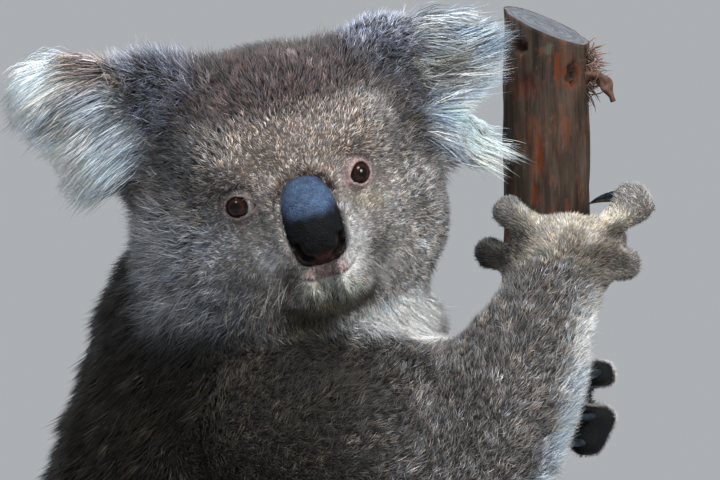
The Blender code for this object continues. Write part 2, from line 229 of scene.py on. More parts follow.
def ring_quads(rows, around):
    """Quads between neighbouring rings of points."""
    low = np.arange((rows - 1) * around)
    following = low + 1 - around * ((low + 1) % around == 0)
    return np.stack([low, following, following + around, low + around], axis=1)


def closed_tube(name, points, rows, around):
    """A mesh through rows of ring points, with a flat cap at each end and every face turned outward."""
    caps = [np.arange(around)[None, ::-1], np.arange(len(points) - around, len(points))[None, :]]
    mesh = mesh_from_arrays(name, points, [ring_quads(rows, around), *caps])
    work = bmesh.new()
    work.from_mesh(mesh)
    bmesh.ops.recalc_face_normals(work, faces=work.faces)
    work.to_mesh(mesh)
    work.free()
    return mesh


def add_piece(name, mesh, material, slot, replaced=(), place=None):
    """Links a finished mesh as a piece of the model that rides on its one body."""
    piece = bpy.data.objects.new(name, mesh)
    bpy.context.scene.collection.objects.link(piece)
    if place is not None:
        piece.matrix_world = place
    mesh.materials.append(material)
    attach(piece, "root")
    if replaced:
        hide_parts(*replaced)
    return piece


def welded(node):
    """A bmesh of a CAD node with its vertices joined again where the file keeps several at one place."""
    work = bmesh.new()
    work.from_mesh(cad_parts[node].data)
    bmesh.ops.remove_doubles(work, verts=work.verts, dist=1e-6)
    bmesh.ops.recalc_face_normals(work, faces=work.faces)
    work.normal_update()
    return work


def remeshed(name, source, voxel, cut_by=None):
    """source made again with even faces about one voxel across. Surfaces inside it disappear. cut_by is a
    mesh that is taken away from it."""
    holder = bpy.data.objects.new(name, source)
    bpy.context.scene.collection.objects.link(holder)
    remesh = holder.modifiers.new("even", "REMESH")
    remesh.mode = "VOXEL"
    remesh.voxel_size = voxel
    if cut_by is not None:
        cutter = bpy.data.objects.new(name + "_cutter", cut_by)
        bpy.context.scene.collection.objects.link(cutter)
        cut = holder.modifiers.new("cut", "BOOLEAN")
        cut.operation = "DIFFERENCE"
        cut.object = cutter
        again = holder.modifiers.new("again", "REMESH")
        again.mode = "VOXEL"
        again.voxel_size = voxel
    graph = bpy.context.evaluated_depsgraph_get()
    made = bpy.data.meshes.new_from_object(holder.evaluated_get(graph))
    bpy.data.objects.remove(holder)
    if cut_by is not None:
        bpy.data.objects.remove(cutter)
    return made


def relax(values, edges, rounds, share=0.5):
    """Moves each vertex's value towards its neighbours' mean, round by round."""
    first = np.concatenate([edges[:, 0], edges[:, 1]])
    second = np.concatenate([edges[:, 1], edges[:, 0]])
    count = np.maximum(np.bincount(first, minlength=len(values)), 1)
    flat = values.reshape(len(values), -1).astype(float)
    for _ in range(rounds):
        for column in range(flat.shape[1]):
            mean = np.bincount(first, weights=flat[second, column], minlength=len(values)) / count
            flat[:, column] += share * (mean - flat[:, column])
    return flat.reshape(values.shape)


# -------------------- the skin

SKIN_VOXEL = 0.0029
SKIN_SWELL = 0.0005
FINE_REACH = 0.022
FLESH_KINDS = ("head", "neck", "torso", "ear", "upper_arm", "forearm", "hand", "thigh", "shank", "foot")
COAT_DEPTH = {
    "head": 0.0050,
    "neck": 0.0075,
    "torso": 0.0085,
    "ear": 0.0055,
    "upper_arm": 0.0065,
    "forearm": 0.0058,
    "hand": 0.0022,
    "thigh": 0.0085,
    "shank": 0.0070,
    "foot": 0.0028,
    "nose": 0.0030,
    "eye": 0.0020,
}


def kind_of(node):
    return node.replace("_left", "").replace("_right", "")


FLESH = sorted(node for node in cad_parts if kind_of(node) in FLESH_KINDS)
COVERED = FLESH + ["nose", "eye_left", "eye_right"]

# the balls that round the digits' ends, one digit bigger than the others, and how far behind the claws
DIGIT_BALL = {"hand": 0.0096, "foot": 0.0094}
BIG_CLAW = "claw_hand_right_3"
BIG_BALL = 0.0116
BALL_BEHIND = 0.0020


def claw_ends(node):
    """A packed claw's root, its middle and its point. The root is the end that is wider."""
    points = points_of(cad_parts[node].data)
    centre = points.mean(axis=0)
    _, axes = np.linalg.eigh(np.cov((points - centre).T))
    along = (points - centre) @ axes[:, 2]
    ends = []
    for end in (along.min(), along.max()):
        at_end = points[np.abs(along - end) < 0.004]
        ends.append((np.ptp(at_end, axis=0).sum(), points[np.abs(along - end) < 0.0015].mean(axis=0)))
    ends.sort(key=lambda pair: -pair[0])
    return ends[0][1], centre, ends[1][1]


def digit_balls(work):
    """A ball at the end of each digit, so that the toes and fingers are rounded round their claws."""
    for node in sorted(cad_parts):
        if node.startswith("claw_"):
            paw = node.replace("claw_", "").rsplit("_", 1)[0]
            root = claw_ends(node)[0]
            radius = BIG_BALL if node == BIG_CLAW else DIGIT_BALL[kind_of(paw)]
            place = Matrix.Translation(Vector(root + unit(middle(paw) - root) * BALL_BEHIND))
            bmesh.ops.create_icosphere(work, subdivisions=3, radius=radius, matrix=place)


# digits with a gap between them
GAPS = (("hand_right", 1, 2), ("hand_right", 3, 5), ("hand_left", 1, 2), ("hand_left", 3, 4))
GAP_REACH = 0.0130
GAP_HALF = 0.0042
GAP_DEEP = 0.0180
GAP_INWARD = 0.003


def gap_cutters():
    """Flat blobs that lie in the gaps between the digits."""
    work = bmesh.new()
    for paw, first, second in GAPS:
        ends = [claw_ends(f"claw_{paw}_{number}")[0] for number in (first, second)]
        centre = (ends[0] + ends[1]) / 2
        inward = unit(middle(paw) - centre)
        deep = unit(np.cross(inward, ends[1] - ends[0]))
        across = np.cross(deep, inward)
        turn = np.stack([inward * GAP_REACH, across * GAP_HALF, deep * GAP_DEEP], axis=1)
        place = Matrix(turn.tolist()).to_4x4()
        place.translation = Vector(centre + inward * GAP_INWARD)
        bmesh.ops.create_icosphere(work, subdivisions=3, radius=1, matrix=place)
    mesh = bpy.data.meshes.new("gaps")
    work.to_mesh(mesh)
    work.free()
    return mesh


def flesh_union():
    """One closed surface round the flesh, the nose and the eyes, with even faces."""
    work = bmesh.new()
    digit_balls(work)
    for node in COVERED:
        part = welded(node)
        for vertex in part.verts:
            vertex.co += vertex.normal * SKIN_SWELL
        mesh = bpy.data.meshes.new("part")
        part.to_mesh(mesh)
        part.free()
        work.from_mesh(mesh)
        bpy.data.meshes.remove(mesh)
    source = bpy.data.meshes.new("flesh")
    work.to_mesh(source)
    work.free()
    return remeshed("flesh", source, SKIN_VOXEL, gap_cutters())


def keep_largest(work):
    """Leaves only the largest connected surface."""
    left = set(work.verts)
    best = set()
    while left:
        start = left.pop()
        island = {start}
        front = [start]
        while front:
            vertex = front.pop()
            for edge in vertex.link_edges:
                other = edge.other_vert(vertex)
                if other in left:
                    left.discard(other)
                    island.add(other)
                    front.append(other)
        if len(island) > len(best):
            best = island
    bmesh.ops.delete(work, geom=[vertex for vertex in work.verts if vertex not in best], context="VERTS")


MOUTH_FINE = ((0, -0.062, -0.028), (0.030, 0.030, 0.018))


def refine_face(work):
    """Finer faces round the eyes and the mouth."""
    points = to_head(np.array([vertex.co[:] for vertex in work.verts]))
    near = np.zeros(len(points), bool)
    for eye in EYES_IN_HEAD.values():
        near |= np.linalg.norm(points - eye, axis=1) < FINE_REACH
    centre, reach = MOUTH_FINE
    near |= np.linalg.norm((points - vector(*centre)) / vector(*reach), axis=1) < 1
    edges = [edge for edge in work.edges if near[edge.verts[0].index] and near[edge.verts[1].index]]
    bmesh.ops.subdivide_edges(work, edges=edges, cuts=2, use_grid_fill=True)
    bmesh.ops.triangulate(work, faces=work.faces)


def nearest_parts(points):
    """For each point, which of COVERED is nearest."""
    vertices = []
    faces = []
    owners = []
    for index, node in enumerate(COVERED):
        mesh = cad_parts[node].data
        base = len(vertices)
        vertices.extend(vertex.co.copy() for vertex in mesh.vertices)
        faces.extend([base + corner for corner in polygon.vertices] for polygon in mesh.polygons)
        owners.extend([index] * len(mesh.polygons))
    tree = BVHTree.FromPolygons(vertices, faces)
    return np.array([owners[tree.find_nearest(Vector(point))[2]] for point in points])


MUZZLE = vector(0, -0.052, -0.008)


def muzzle_distance(in_head):
    return np.linalg.norm((in_head - MUZZLE) * vector(1.0, 0.8, 1.0), axis=1)


def eye_distance(in_head):
    gaps = [np.linalg.norm(in_head - eye, axis=1) for eye in EYES_IN_HEAD.values()]
    return np.minimum(*gaps)


# the coat's depth on the face, and how much more it is at the back of the head
FACE_DEPTH = (0.0022, 0.0038)


def coat_depths(points, share_of):
    """How far the skin lies inside the CAD outline at each vertex."""
    table = np.array([COAT_DEPTH[kind_of(node)] for node in COVERED])
    depth = share_of @ table
    face = FACE_DEPTH[0] + FACE_DEPTH[1] * smoothstep(0.028, 0.085, muzzle_distance(to_head(points)))
    return lerp(depth, face, share_of[:, COVERED.index("head")])


# palms and soles face inwards, a little back and down
PALM_BACK = -0.25
PALM_DOWN = -0.10


def pad_share(points, share_of, normals):
    """1 on the bare pads: the palms and soles, and what faces the trunk."""
    inner = -np.sum(unit(off_perch(points)) * normals, axis=1)
    pads = np.zeros(len(points))
    for index, node in enumerate(COVERED):
        if kind_of(node) in ("hand", "foot"):
            palm = unit(vector(PALM_BACK, -SIDE_SIGN[node.rsplit("_", 1)[-1]], PALM_DOWN))
            facing = np.maximum(normals @ palm, inner * 0.9)
            pads += smoothstep(0.5, 0.9, share_of[:, index]) * smoothstep(0.08, 0.26, facing)
    return np.clip(pads, 0, 1)


def columns_of(kinds):
    """The places in COVERED of these kinds of part, or of one node if its full name is given."""
    return [index for index, node in enumerate(COVERED) if node in kinds or kind_of(node) in kinds]


class Skin:
    """The skin's vertices and triangles, with what the coat needs to know at each vertex."""

    def __init__(self):
        mesh = flesh_union()
        work = bmesh.new()
        work.from_mesh(mesh)
        keep_largest(work)
        work.verts.index_update()
        refine_face(work)
        work.to_mesh(mesh)
        work.free()
        self.mesh = mesh
        self.edges = self.read("edges", "vertices", 2)
        self.triangles = self.read("polygons", "vertices", 3)
        self.points = points_of(mesh)
        self.parts = nearest_parts(self.points)
        shares = np.zeros((len(self.points), len(COVERED)))
        shares[np.arange(len(self.points)), self.parts] = 1.0
        self.shares = relax(shares, self.edges, 8)
        self.outer = self.points.copy()

    def read(self, collection, item, width):
        flat = np.empty(len(getattr(self.mesh, collection)) * width, np.int32)
        getattr(self.mesh, collection).foreach_get(item, flat)
        return flat.reshape(-1, width)

    def share(self, *kinds):
        """How much each vertex belongs to these kinds of part, or to one node if its full name is given."""
        return self.shares[:, columns_of(kinds)].sum(axis=1)

    def place(self, points):
        self.points = points
        self.mesh.vertices.foreach_set("co", points.astype(np.float32).ravel())
        self.mesh.update()
        self.normals = normals_of(self.mesh)


# -------------------- sculpting the skin

NOSE_ASIDE = -0.0004
NOSE_LEAN = 0.011
MOUTH_LOW = -0.0290
MOUTH_RISE = 0.0058
MOUTH_HALF = 0.016
# the opening between the lids: its half width and half height, the direction in which it is flatter
# and by how much, and how far its inner corner reaches
LID_GAP = (0.0048, 0.00445)
LID_FALL = (2.25, 0.13)
LID_CORNER = {"right": 0.0034, "left": 0.0006}
# how far the lids stand off the eyeball, and between which distances they turn into the face
LID_STANDS = 0.0007
LID_BLEND = (0.0064, 0.0105)
# a fold along the lids' edge and a crease outside it: height, and distance from the opening
LID_FOLD = (0.0005, 0.0016)
LID_CREASE = (-0.0011, 0.0030)
LID_LINE = 0.0006
LID_STEP = 0.0007
LID_DROP = 0.0042


def eye_axes(side):
    """The eye's own axes in the head frame: across, up and out through the pupil."""
    out = unit(vector(SIDE_SIGN[side] * 0.46, -0.87, 0.10))
    across = unit(np.cross(vector(0, 0, 1), out))
    up = np.cross(out, across)
    return across, up, out


def off_eye(in_head, side):
    """How far each point lies across, above and in front of the eye's centre."""
    return np.array([(in_head - EYES_IN_HEAD[side]) @ axis for axis in eye_axes(side)])


# how far forward the skin comes round the eye, and how far from the pupil that reaches
EYE_SURROUND = 0.0050
EYE_ROUND = 0.0010
EYE_HALF = 0.012
SOCKET = (0.010, 0.026)
# swellings above and below the eye: how far away, how wide and how high
BROW_SWELL = (0.0150, 0.0070, 0.0014)
CHEEK_SWELL = (0.0150, 0.0080, 0.0010)
SWELL_OUT = 0.004


def sculpt_sockets(in_head):
    """Brings the skin round each eye up to the lids, under a slight brow and over a slight cheek."""
    made = in_head.copy()
    for side, eye in EYES_IN_HEAD.items():
        across, up, out = eye_axes(side)
        sideways, upward, forward = off_eye(in_head, side)
        radius = np.hypot(sideways, upward)
        level = EYE_SURROUND - EYE_ROUND * (radius / EYE_HALF) ** 2
        share = (1 - smoothstep(*SOCKET, radius)) * smoothstep(-0.010, -0.002, forward)
        lifted = np.maximum(level - forward, 0) * share
        above = eye + out * SWELL_OUT + up * BROW_SWELL[0]
        below = eye + out * SWELL_OUT - up * CHEEK_SWELL[0] + across * SIDE_SIGN[side] * SWELL_OUT
        brow = BROW_SWELL[2] * bump(in_head, above, BROW_SWELL[1])
        cheek = CHEEK_SWELL[2] * bump(in_head, below, CHEEK_SWELL[1])
        made += np.outer(lifted + brow + cheek, out)
    return made


def lid_opening(side, sideways, upward):
    """How far the opening between the lids reaches from the pupil, in each point's direction."""
    inner = sideways * -SIDE_SIGN[side]
    corner = LID_CORNER[side] * smoothstep(0.002, 0.006, inner) * ridge(upward + 0.0006, 0.0028)
    angle = np.arctan2(upward, sideways)
    fall = 1 - LID_FALL[1] * np.clip(np.cos(angle - LID_FALL[0]), 0, 1) ** 3
    return fall / np.hypot(np.cos(angle) / LID_GAP[0], np.sin(angle) / LID_GAP[1]) + corner


def sculpt_lids(in_head):
    """Draws the skin over each eyeball as lids that leave an opening, with a crease above them."""
    made = in_head.copy()
    for side in EYES_IN_HEAD:
        sideways, upward, forward = off_eye(in_head, side)
        radius = np.hypot(sideways, upward)
        opening = lid_opening(side, sideways, upward)
        near = (radius < LID_BLEND[1]) & (forward > -0.002)
        ball = np.sqrt(np.maximum((EYE_RADIUS + LID_STANDS) ** 2 - radius**2, 1e-8))
        fold = LID_FOLD[0] * ridge(radius - opening - LID_FOLD[1], LID_LINE)
        crease = LID_CREASE[0] * ridge(radius - opening - LID_CREASE[1], LID_LINE)
        inside = 1 - smoothstep(opening, opening + LID_STEP, radius)
        lid = ball + fold + crease - LID_DROP * inside
        target = lerp(lid, forward, smoothstep(*LID_BLEND, radius))
        made += np.outer(np.where(near, target - forward, 0), eye_axes(side)[2])
    return made


def mouth_height(x):
    """Where the lips meet, in the head frame: lowest in the middle, and up towards the corners."""
    return MOUTH_LOW + MOUTH_RISE * (np.abs(x - NOSE_ASIDE / 2) / MOUTH_HALF) ** 2


def behind_nose(in_head):
    """1 where the finished nose covers the skin."""
    x, _, z = in_head.T
    rows = np.array(NOSE_PROFILE)[::-1]
    half_width = np.interp(z, rows[:, 0], rows[:, 1], left=0.0001, right=0.0001)
    aside = np.abs(x - NOSE_ASIDE - NOSE_LEAN * z) / half_width
    return smoothstep(0.98, 0.86, aside) * smoothstep(-0.040, -0.048, in_head[:, 1])


def clear_nose(in_head):
    """Keeps the skin behind the bare nose, and lets it meet the nose's sides half way back."""
    x, y, z = in_head.T
    rows = np.array(NOSE_PROFILE)[::-1]
    half_width, front, rear = (np.interp(z, rows[:, 0], rows[:, column]) for column in (1, 2, 3))
    aside = np.abs(x - NOSE_ASIDE - NOSE_LEAN * z) / half_width
    limit = -(rear + (front - rear) * 0.50)
    made = in_head.copy()
    made[:, 1] += np.maximum(limit - y, 0) * smoothstep(1.14, 0.90, aside)
    return made


# soft swellings round the mouth in the head frame: how far forward, centre and reach
MOUTH_SWELLS = (
    (0.0026, (-0.0215, -0.060, -0.0150), (0.0090, 0.022, 0.0085)),
    (0.0026, (0.0215, -0.060, -0.0150), (0.0090, 0.022, 0.0085)),
    (0.0030, (0, -0.062, -0.0350), (0.0160, 0.024, 0.0080)),
    (0.0014, (0, -0.066, -0.0250), (0.0130, 0.020, 0.0045)),
)
# the chin's height, half width and half height
CHIN = (-0.0325, 0.0200, 0.0130)
NOSE_COLLAR = 0.0042
SLIT_DEEP = 0.0016
CREASE_DEEP = 0.0030


def sculpt_mouth(in_head):
    """The pads beside the nose, the lips under it, the round chin and the creases that set them apart."""
    x, y, z = in_head.T
    front = smoothstep(-0.030, -0.046, y)
    ends = 1 - smoothstep(0.014, 0.020, np.abs(x))
    slit = ridge(z - mouth_height(x), 0.0010) * ends * front
    forward = sum(rise * bump(in_head, centre, reach) for rise, centre, reach in MOUTH_SWELLS)
    off_collar = np.hypot((x - NOSE_ASIDE) / 0.0150, (z + 0.0005) / 0.0190) - 1.16
    forward += NOSE_COLLAR * (ridge(off_collar, 0.24) * smoothstep(-0.019, -0.010, z) * front)
    off_chin = np.hypot(x / CHIN[1], (z - CHIN[0]) / CHIN[2]) - 1
    crease = ridge(off_chin, 0.16) * front * smoothstep(-0.040, -0.050, z)
    crease *= smoothstep(0.008, 0.016, np.abs(x))
    made = in_head.copy()
    made[:, 1] += SLIT_DEEP * slit + CREASE_DEEP * crease - forward
    return clear_nose(made)


EAR_HEM = 0.0120
EAR_HEM_SOFT = 0.003


def trim_ears(skin, inner):
    """Draws the ears' outer edges in, so that their hair ends where it should."""
    place = to_head(inner)
    for side, sign in SIDE_SIGN.items():
        over = np.maximum(place[:, 0] * sign - (ear_reach(side, place[:, 2]) - EAR_HEM), 0)
        drawn = over - EAR_HEM_SOFT * np.tanh(over / EAR_HEM_SOFT)
        place[:, 0] -= sign * drawn * skin.share(f"ear_{side}")
    return from_head(place)


def build_skin():
    skin = Skin()
    skin.place(skin.points)
    smooth = unit(relax(skin.normals, skin.edges, 6))
    bare = pad_share(skin.points, skin.shares, smooth)
    depth = coat_depths(skin.points, skin.shares) * (1 - 0.8 * bare)
    depth = relax(depth, skin.edges, 14)
    inner = skin.points - smooth * depth[:, None]
    inner = relax(inner, skin.edges, 3)
    brow = skin.share("head", "ear") * smoothstep(0.016, 0.030, eye_distance(to_head(inner)))
    brow *= smoothstep(0.034, 0.050, muzzle_distance(to_head(inner)))
    inner = mix(inner, relax(inner, skin.edges, 40), brow)
    head = skin.share("head", "nose", "eye", "neck")
    in_head = to_head(inner)
    sculpted = sculpt_mouth(sculpt_lids(sculpt_sockets(in_head)))
    inner = mix(inner, from_head(sculpted), smoothstep(0.2, 0.7, head))
    inner = trim_ears(skin, inner)
    skin.place(inner)
    skin.bare = relax(bare, skin.edges, 2)
    skin.depth = np.linalg.norm(skin.outer - inner, axis=1)
    skin.in_head = to_head(inner)
    return skin


# -------------------- the coat's own measures

# length, width, tufts to a square centimetre, lift at the root in degrees, for each kind of part
COAT = {
    "head": (0.0110, 0.00050, 150, 55),
    "neck": (0.0135, 0.00080, 66, 52),
    "torso": (0.0155, 0.00115, 37, 52),
    "ear": (0.0200, 0.00045, 90, 40),
    "upper_arm": (0.0068, 0.00056, 100, 52),
    "forearm": (0.0060, 0.00052, 108, 50),
    "hand": (0.0034, 0.00042, 230, 46),
    "thigh": (0.0150, 0.00120, 36, 52),
    "shank": (0.0120, 0.00110, 43, 52),
    "foot": (0.0050, 0.00075, 95, 55),
    "nose": (0.0030, 0.00050, 0, 30),
    "eye": (0.0020, 0.00040, 0, 30),
}
HAIR_FROM = {
    "upper_arm": "forearm",
    "forearm": "hand",
    "thigh": "shank",
    "shank": "foot",
}


def flow_of(skin):
    """Which way the coat lies at each vertex: back from the nose, down the body and out along the limbs."""
    flow = np.zeros_like(skin.points)
    for index, node in enumerate(COVERED):
        kind = kind_of(node)
        side = node.rsplit("_", 1)[-1]
        weight = skin.shares[:, index : index + 1]
        if kind in HAIR_FROM:
            way = unit(middle(f"{HAIR_FROM[kind]}_{side}") - middle(node))
            flow += weight * way
        elif kind in ("hand", "foot"):
            flow += weight * towards_claws(skin.points, node)
        elif kind == "ear":
            flow += weight * ear_flow(skin, side)
        elif kind == "torso":
            down = np.tile(vector(-0.15, 0, -1), (len(skin.points), 1))
            down[:, 0] += 3.0 * (skin.points[:, 0] + 0.05) * (skin.points[:, 0] > -0.05)
            flow += weight * unit(down)
        elif kind == "neck":
            away = unit(skin.points - HEAD_CENTRE)
            flow += weight * unit(away * 0.6 + vector(-0.3, 0, -0.8))
        else:
            away = skin.in_head - vector(0, -0.080, 0.002)
            flow += weight * (unit(away) @ HEAD_TURN.T)
    flow = relax(flow, skin.edges, 16)
    return along_surface(flow, skin.normals)


def towards_claws(points, node):
    """From each point towards the nearest of that hand's or foot's claws."""
    tips = np.array([middle(name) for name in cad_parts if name.startswith(f"claw_{node}_")])
    gaps = np.linalg.norm(points[:, None, :] - tips[None], axis=2)
    nearest = tips[np.argmin(gaps, axis=1)]
    return unit(nearest - points)


# which way the long hair lies: degrees above straight out, at heights in the head frame
EAR_LIE = {
    "right": ((0.030, -26), (0.050, -16), (0.068, 0), (0.090, 6)),
    "left": ((0.000, -56), (0.009, -50), (0.021, -10), (0.040, -6), (0.058, -4)),
}


def ear_flow(skin, side):
    """Outwards from the head, fanned up and down over the ear's height."""
    angle = np.radians(np.interp(skin.in_head[:, 2], *np.array(EAR_LIE[side]).T))
    way = np.stack([SIDE_SIGN[side] * np.cos(angle), np.zeros(len(angle)), np.sin(angle)], axis=1)
    return way @ HEAD_TURN.T


# -------------------- its markings

GREY_FACE = vector(0.28, 0.252, 0.234)
WARM_BROW = vector(0.265, 0.213, 0.185)
DARK_SIDE = vector(0.062, 0.061, 0.064)
# the right cheek's cool tint is painted bluish light
CHEEK_COOL_LIGHT = vector(0.238, 0.254, 0.293)
CHEEK_PALE = vector(0.259, 0.244, 0.236)
PALE_MUZZLE = vector(0.589, 0.581, 0.589)
CREAM_CHIN = vector(0.47, 0.485, 0.425)
# olive-tinted painted shade, for beneath the chin and the creases beside the lips
OLIVE_SHADE = vector(0.059, 0.053, 0.022)
WHITE_THROAT = vector(0.94, 0.96, 0.97)
NAPE_GREY = vector(0.070, 0.064, 0.062)
BROWN_CROWN = vector(0.063, 0.043, 0.042)
NOSE_BRISTLE = vector(0.038, 0.022, 0.0138)
EAR_DARK = vector(0.085, 0.09, 0.112)
EAR_SILVER = vector(0.213, 0.232, 0.305)
EAR_WHITE = vector(0.82, 0.88, 0.94)
EAR_TAN = vector(0.223, 0.167, 0.138)
# the back's dark colour is partly its own dark wool and partly painted shade under the head
BACK_DARK_AND_SHADE = vector(0.021, 0.0164, 0.0118)
ARM_GREY = vector(0.136, 0.124, 0.119)
LEG_GREY = vector(0.069, 0.061, 0.055)
HAND_CREAM = vector(0.608, 0.552, 0.464)
DIGIT_GREY = vector(0.27, 0.25, 0.235)
HAND_BROWN = vector(0.074, 0.057, 0.046)
# the fringe's bluish colour low on the right forearm is painted shade lit by the sky
FRINGE_SKY_SHADE = vector(0.29, 0.35, 0.41)
FRINGE_WHITE = vector(0.456, 0.471, 0.471)
BELLY_PALE = vector(0.63, 0.621, 0.576)
PAD_BLACK = vector(0.004, 0.0045, 0.005)
LID_FUR = vector(0.40, 0.31, 0.315)
LID_GREY = vector(0.17, 0.135, 0.125)
LID_PINK = vector(0.33, 0.23, 0.22)
LIP_PINK = vector(0.50, 0.350, 0.345)
LID_SHADE = vector(0.085, 0.076, 0.070)
UNDER_EYE = vector(0.50, 0.42, 0.28)
RUMP_FLECK = vector(0.42, 0.39, 0.34)
LEG_PALE = vector(0.24, 0.22, 0.205)
EAR_BACK = vector(0.11, 0.10, 0.09)

# soft spots of colour on the head, in its frame: centre, reach and strength
DARK_SIDES = (
    ((-0.052, -0.026, 0.034), (0.017, 0.034, 0.026), 1.1),
    ((0.056, -0.016, 0.024), (0.012, 0.030, 0.018), 0.6),
)
# a painted pool of light low on the left cheek, where it faces down
LOW_CHEEK_LIGHT = (((0.0380, -0.040, -0.036), (0.0180, 0.030, 0.0125), 1.4),)
MUZZLE_PADS = (
    ((0.0165, -0.060, -0.0150), (0.0070, 0.024, 0.0110), 1.25),
    ((-0.0215, -0.055, -0.0165), (0.0085, 0.020, 0.0100), 1.0625),
)
# painted shade in the crease beside the left corner of the lips
LIP_FOLD_SHADE = (((0.0270, -0.050, -0.0240), (0.0075, 0.020, 0.0055), 1.0),)
LIP_PALE = (((0.0145, -0.064, -0.0235), (0.0070, 0.020, 0.0080), 1.2),)
# painted shade in the crease beside the right corner of the lips
LIP_CORNER_SHADE = (((-0.0170, -0.060, -0.0250), (0.0040, 0.020, 0.0070), 1.0),)
# the pale ring of hair round each eye: how far out, how wide and how strong on each side
LID_RING = (0.0078, 0.0022)
LID_RING_SHARE = {"left": 0.85, "right": 0.35}


def daub(colour, place, spots, tone, most=1.0):
    """Blends the tone into the colours at the spots."""
    share = sum(strength * bump(place, centre, reach) for centre, reach, strength in spots)
    return mix(colour, tone, np.clip(share, 0, 1) * most)


def cheek_marking(place):
    """Warm brow, brown crown, grey nape, dark sides below the ears, a painted bluish light on the right
    cheek, and a pale left cheek with a painted pool of light low on it.
    """
    x, y, z = place.T
    warm = smoothstep(-0.002, 0.026, z) * (1 - smoothstep(0.026, 0.050, np.abs(x)))
    colour = mix(GREY_FACE, WARM_BROW, warm * (1 - smoothstep(0.050, 0.066, z)))
    back = np.clip(smoothstep(-0.034, 0.000, y) + smoothstep(0.037, 0.052, z), 0, 1)
    colour = mix(colour, BROWN_CROWN, back)
    colour = mix(colour, NAPE_GREY, smoothstep(-0.010, 0.020, y))
    colour = daub(colour, place, DARK_SIDES, DARK_SIDE)
    # painted bluish light on the right cheek
    right_cheek = smoothstep(0.020, 0.056, -x) * smoothstep(0.022, -0.006, z)
    colour = mix(colour, CHEEK_COOL_LIGHT, right_cheek * 0.85)
    left_cheek = smoothstep(0.020, 0.038, x) * smoothstep(0.010, -0.012, z)
    colour = mix(colour, CHEEK_PALE, left_cheek * smoothstep(0.030, 0.0, y) * 0.9)
    # painted light low on the left cheek
    return daub(colour, place, LOW_CHEEK_LIGHT, CHEEK_PALE * 2.2, 0.95)


def eye_marking(colour, place):
    """A pale ring of hair round each eye, a dark line above the right one and cream below the left."""
    for side, most in LID_RING_SHARE.items():
        sideways, upward, forward = off_eye(place, side)
        low = upward - 0.5 * np.abs(sideways)
        ring = ridge(np.hypot(sideways, upward) - LID_RING[0], LID_RING[1])
        ring *= 0.65 + 0.35 * smoothstep(0.0, -0.004, low)
        colour = mix(colour, LID_FUR, np.clip(ring * most, 0, 1) * (forward > -0.002))
    above = EYES_IN_HEAD["right"] + vector(-0.001, 0, 0.0082)
    colour = daub(colour, place, ((above, (0.0085, 0.016, 0.0026), 1.0),), LID_SHADE, 0.8)
    below = EYES_IN_HEAD["left"] + vector(-0.003, 0, -0.0120)
    return daub(colour, place, ((below, (0.010, 0.016, 0.0045), 1.0),), UNDER_EYE, 0.7)


def chin_marking(colour, place):
    """A cream chin, olive painted shade beneath it and in the creases at the lips' corners, and the white
    throat.
    """
    x, y, z = place.T
    chin = 1 - smoothstep(0.75, 1.10, np.hypot((x - 0.002) / 0.0175, (z + 0.0315) / 0.0080))
    chin *= smoothstep(-0.030, -0.046, y)
    colour = mix(colour, CREAM_CHIN, chin * (0.62 + 0.38 * smoothstep(-0.010, 0.008, x)))
    # olive painted shade beneath the chin
    under = chin * smoothstep(-0.0325, -0.0375, z) * smoothstep(0.015, 0.005, x)
    colour = mix(colour, OLIVE_SHADE * 1.5, under * 0.50)
    colour = daub(colour, place, LIP_PALE, PALE_MUZZLE)
    # painted shade in the crease at the right corner of the lips
    colour = daub(colour, place, LIP_CORNER_SHADE, OLIVE_SHADE * 0.7, 0.8)
    # olive painted shade under the chin's lower edge
    below = smoothstep(-0.0352, -0.0400, z) * smoothstep(-0.024, -0.044, y)
    below *= 1 - smoothstep(0.018, 0.030, np.abs(x))
    colour = mix(colour, OLIVE_SHADE, below * 0.9)
    throat = smoothstep(-0.048, -0.062, z) * smoothstep(0.006, -0.014, y) * smoothstep(-0.010, 0.012, x)
    return mix(colour, WHITE_THROAT, throat)


def head_marking(skin):
    """The head's colours: the cheeks and crown, the muzzle, the eyes' surrounds, the chin and the lips."""
    place = skin.in_head
    x, y, z = place.T
    colour = cheek_marking(place)
    colour = daub(colour, place, MUZZLE_PADS, PALE_MUZZLE)
    # painted shade in the crease beside the left corner of the lips
    colour = daub(colour, place, LIP_FOLD_SHADE, OLIVE_SHADE, 0.75)
    colour = chin_marking(eye_marking(colour, place), place)
    lips = bare_face(skin)[1] * (0.75 + 0.25 * ripple(place, 0.005, 12))
    colour = mix(colour, LIP_PINK * 1.1, np.clip(lips, 0, 1))
    off_nose = np.hypot((x - NOSE_ASIDE - NOSE_LEAN * z) / 0.0138, (z - 0.0050) / 0.0148)
    rim = ridge(off_nose - 1.02, 0.075) * smoothstep(0.002, 0.010, z) * smoothstep(-0.040, -0.050, y)
    colour = mix(colour, NOSE_BRISTLE, np.clip(rim, 0, 1) * 0.9)
    return colour * (1 + 0.16 * ripple(place, 0.030, 11)[:, None])


# heights between which the dark wool of each ear turns to silver
EAR_TOP = {"right": (0.074, 0.090), "left": (0.052, 0.072)}
# how bright each ear's dark wool and silver are, the left ear's lower levels being painted shade, and the
# tint of its white, whose bluish cast, stronger on the left ear, is painted skylight in shade
EAR_PAINTED_SHADE = {"right": (1.0, 1.0), "left": (0.52, 0.66)}
EAR_SKYLIGHT_TINT = {"right": vector(0.98, 1.0, 1.03), "left": vector(0.94, 1.02, 1.10)}
# the shade where each flap's hair opens over its hollow: centre, reach and colour
EAR_HOLLOW = {
    "right": ((-0.081, -0.001, 0.068), (0.009, 0.02, 0.008), vector(0.26, 0.25, 0.22)),
    "left": ((0.079, -0.004, 0.043), (0.007, 0.02, 0.009), vector(0.38, 0.37, 0.31)),
}
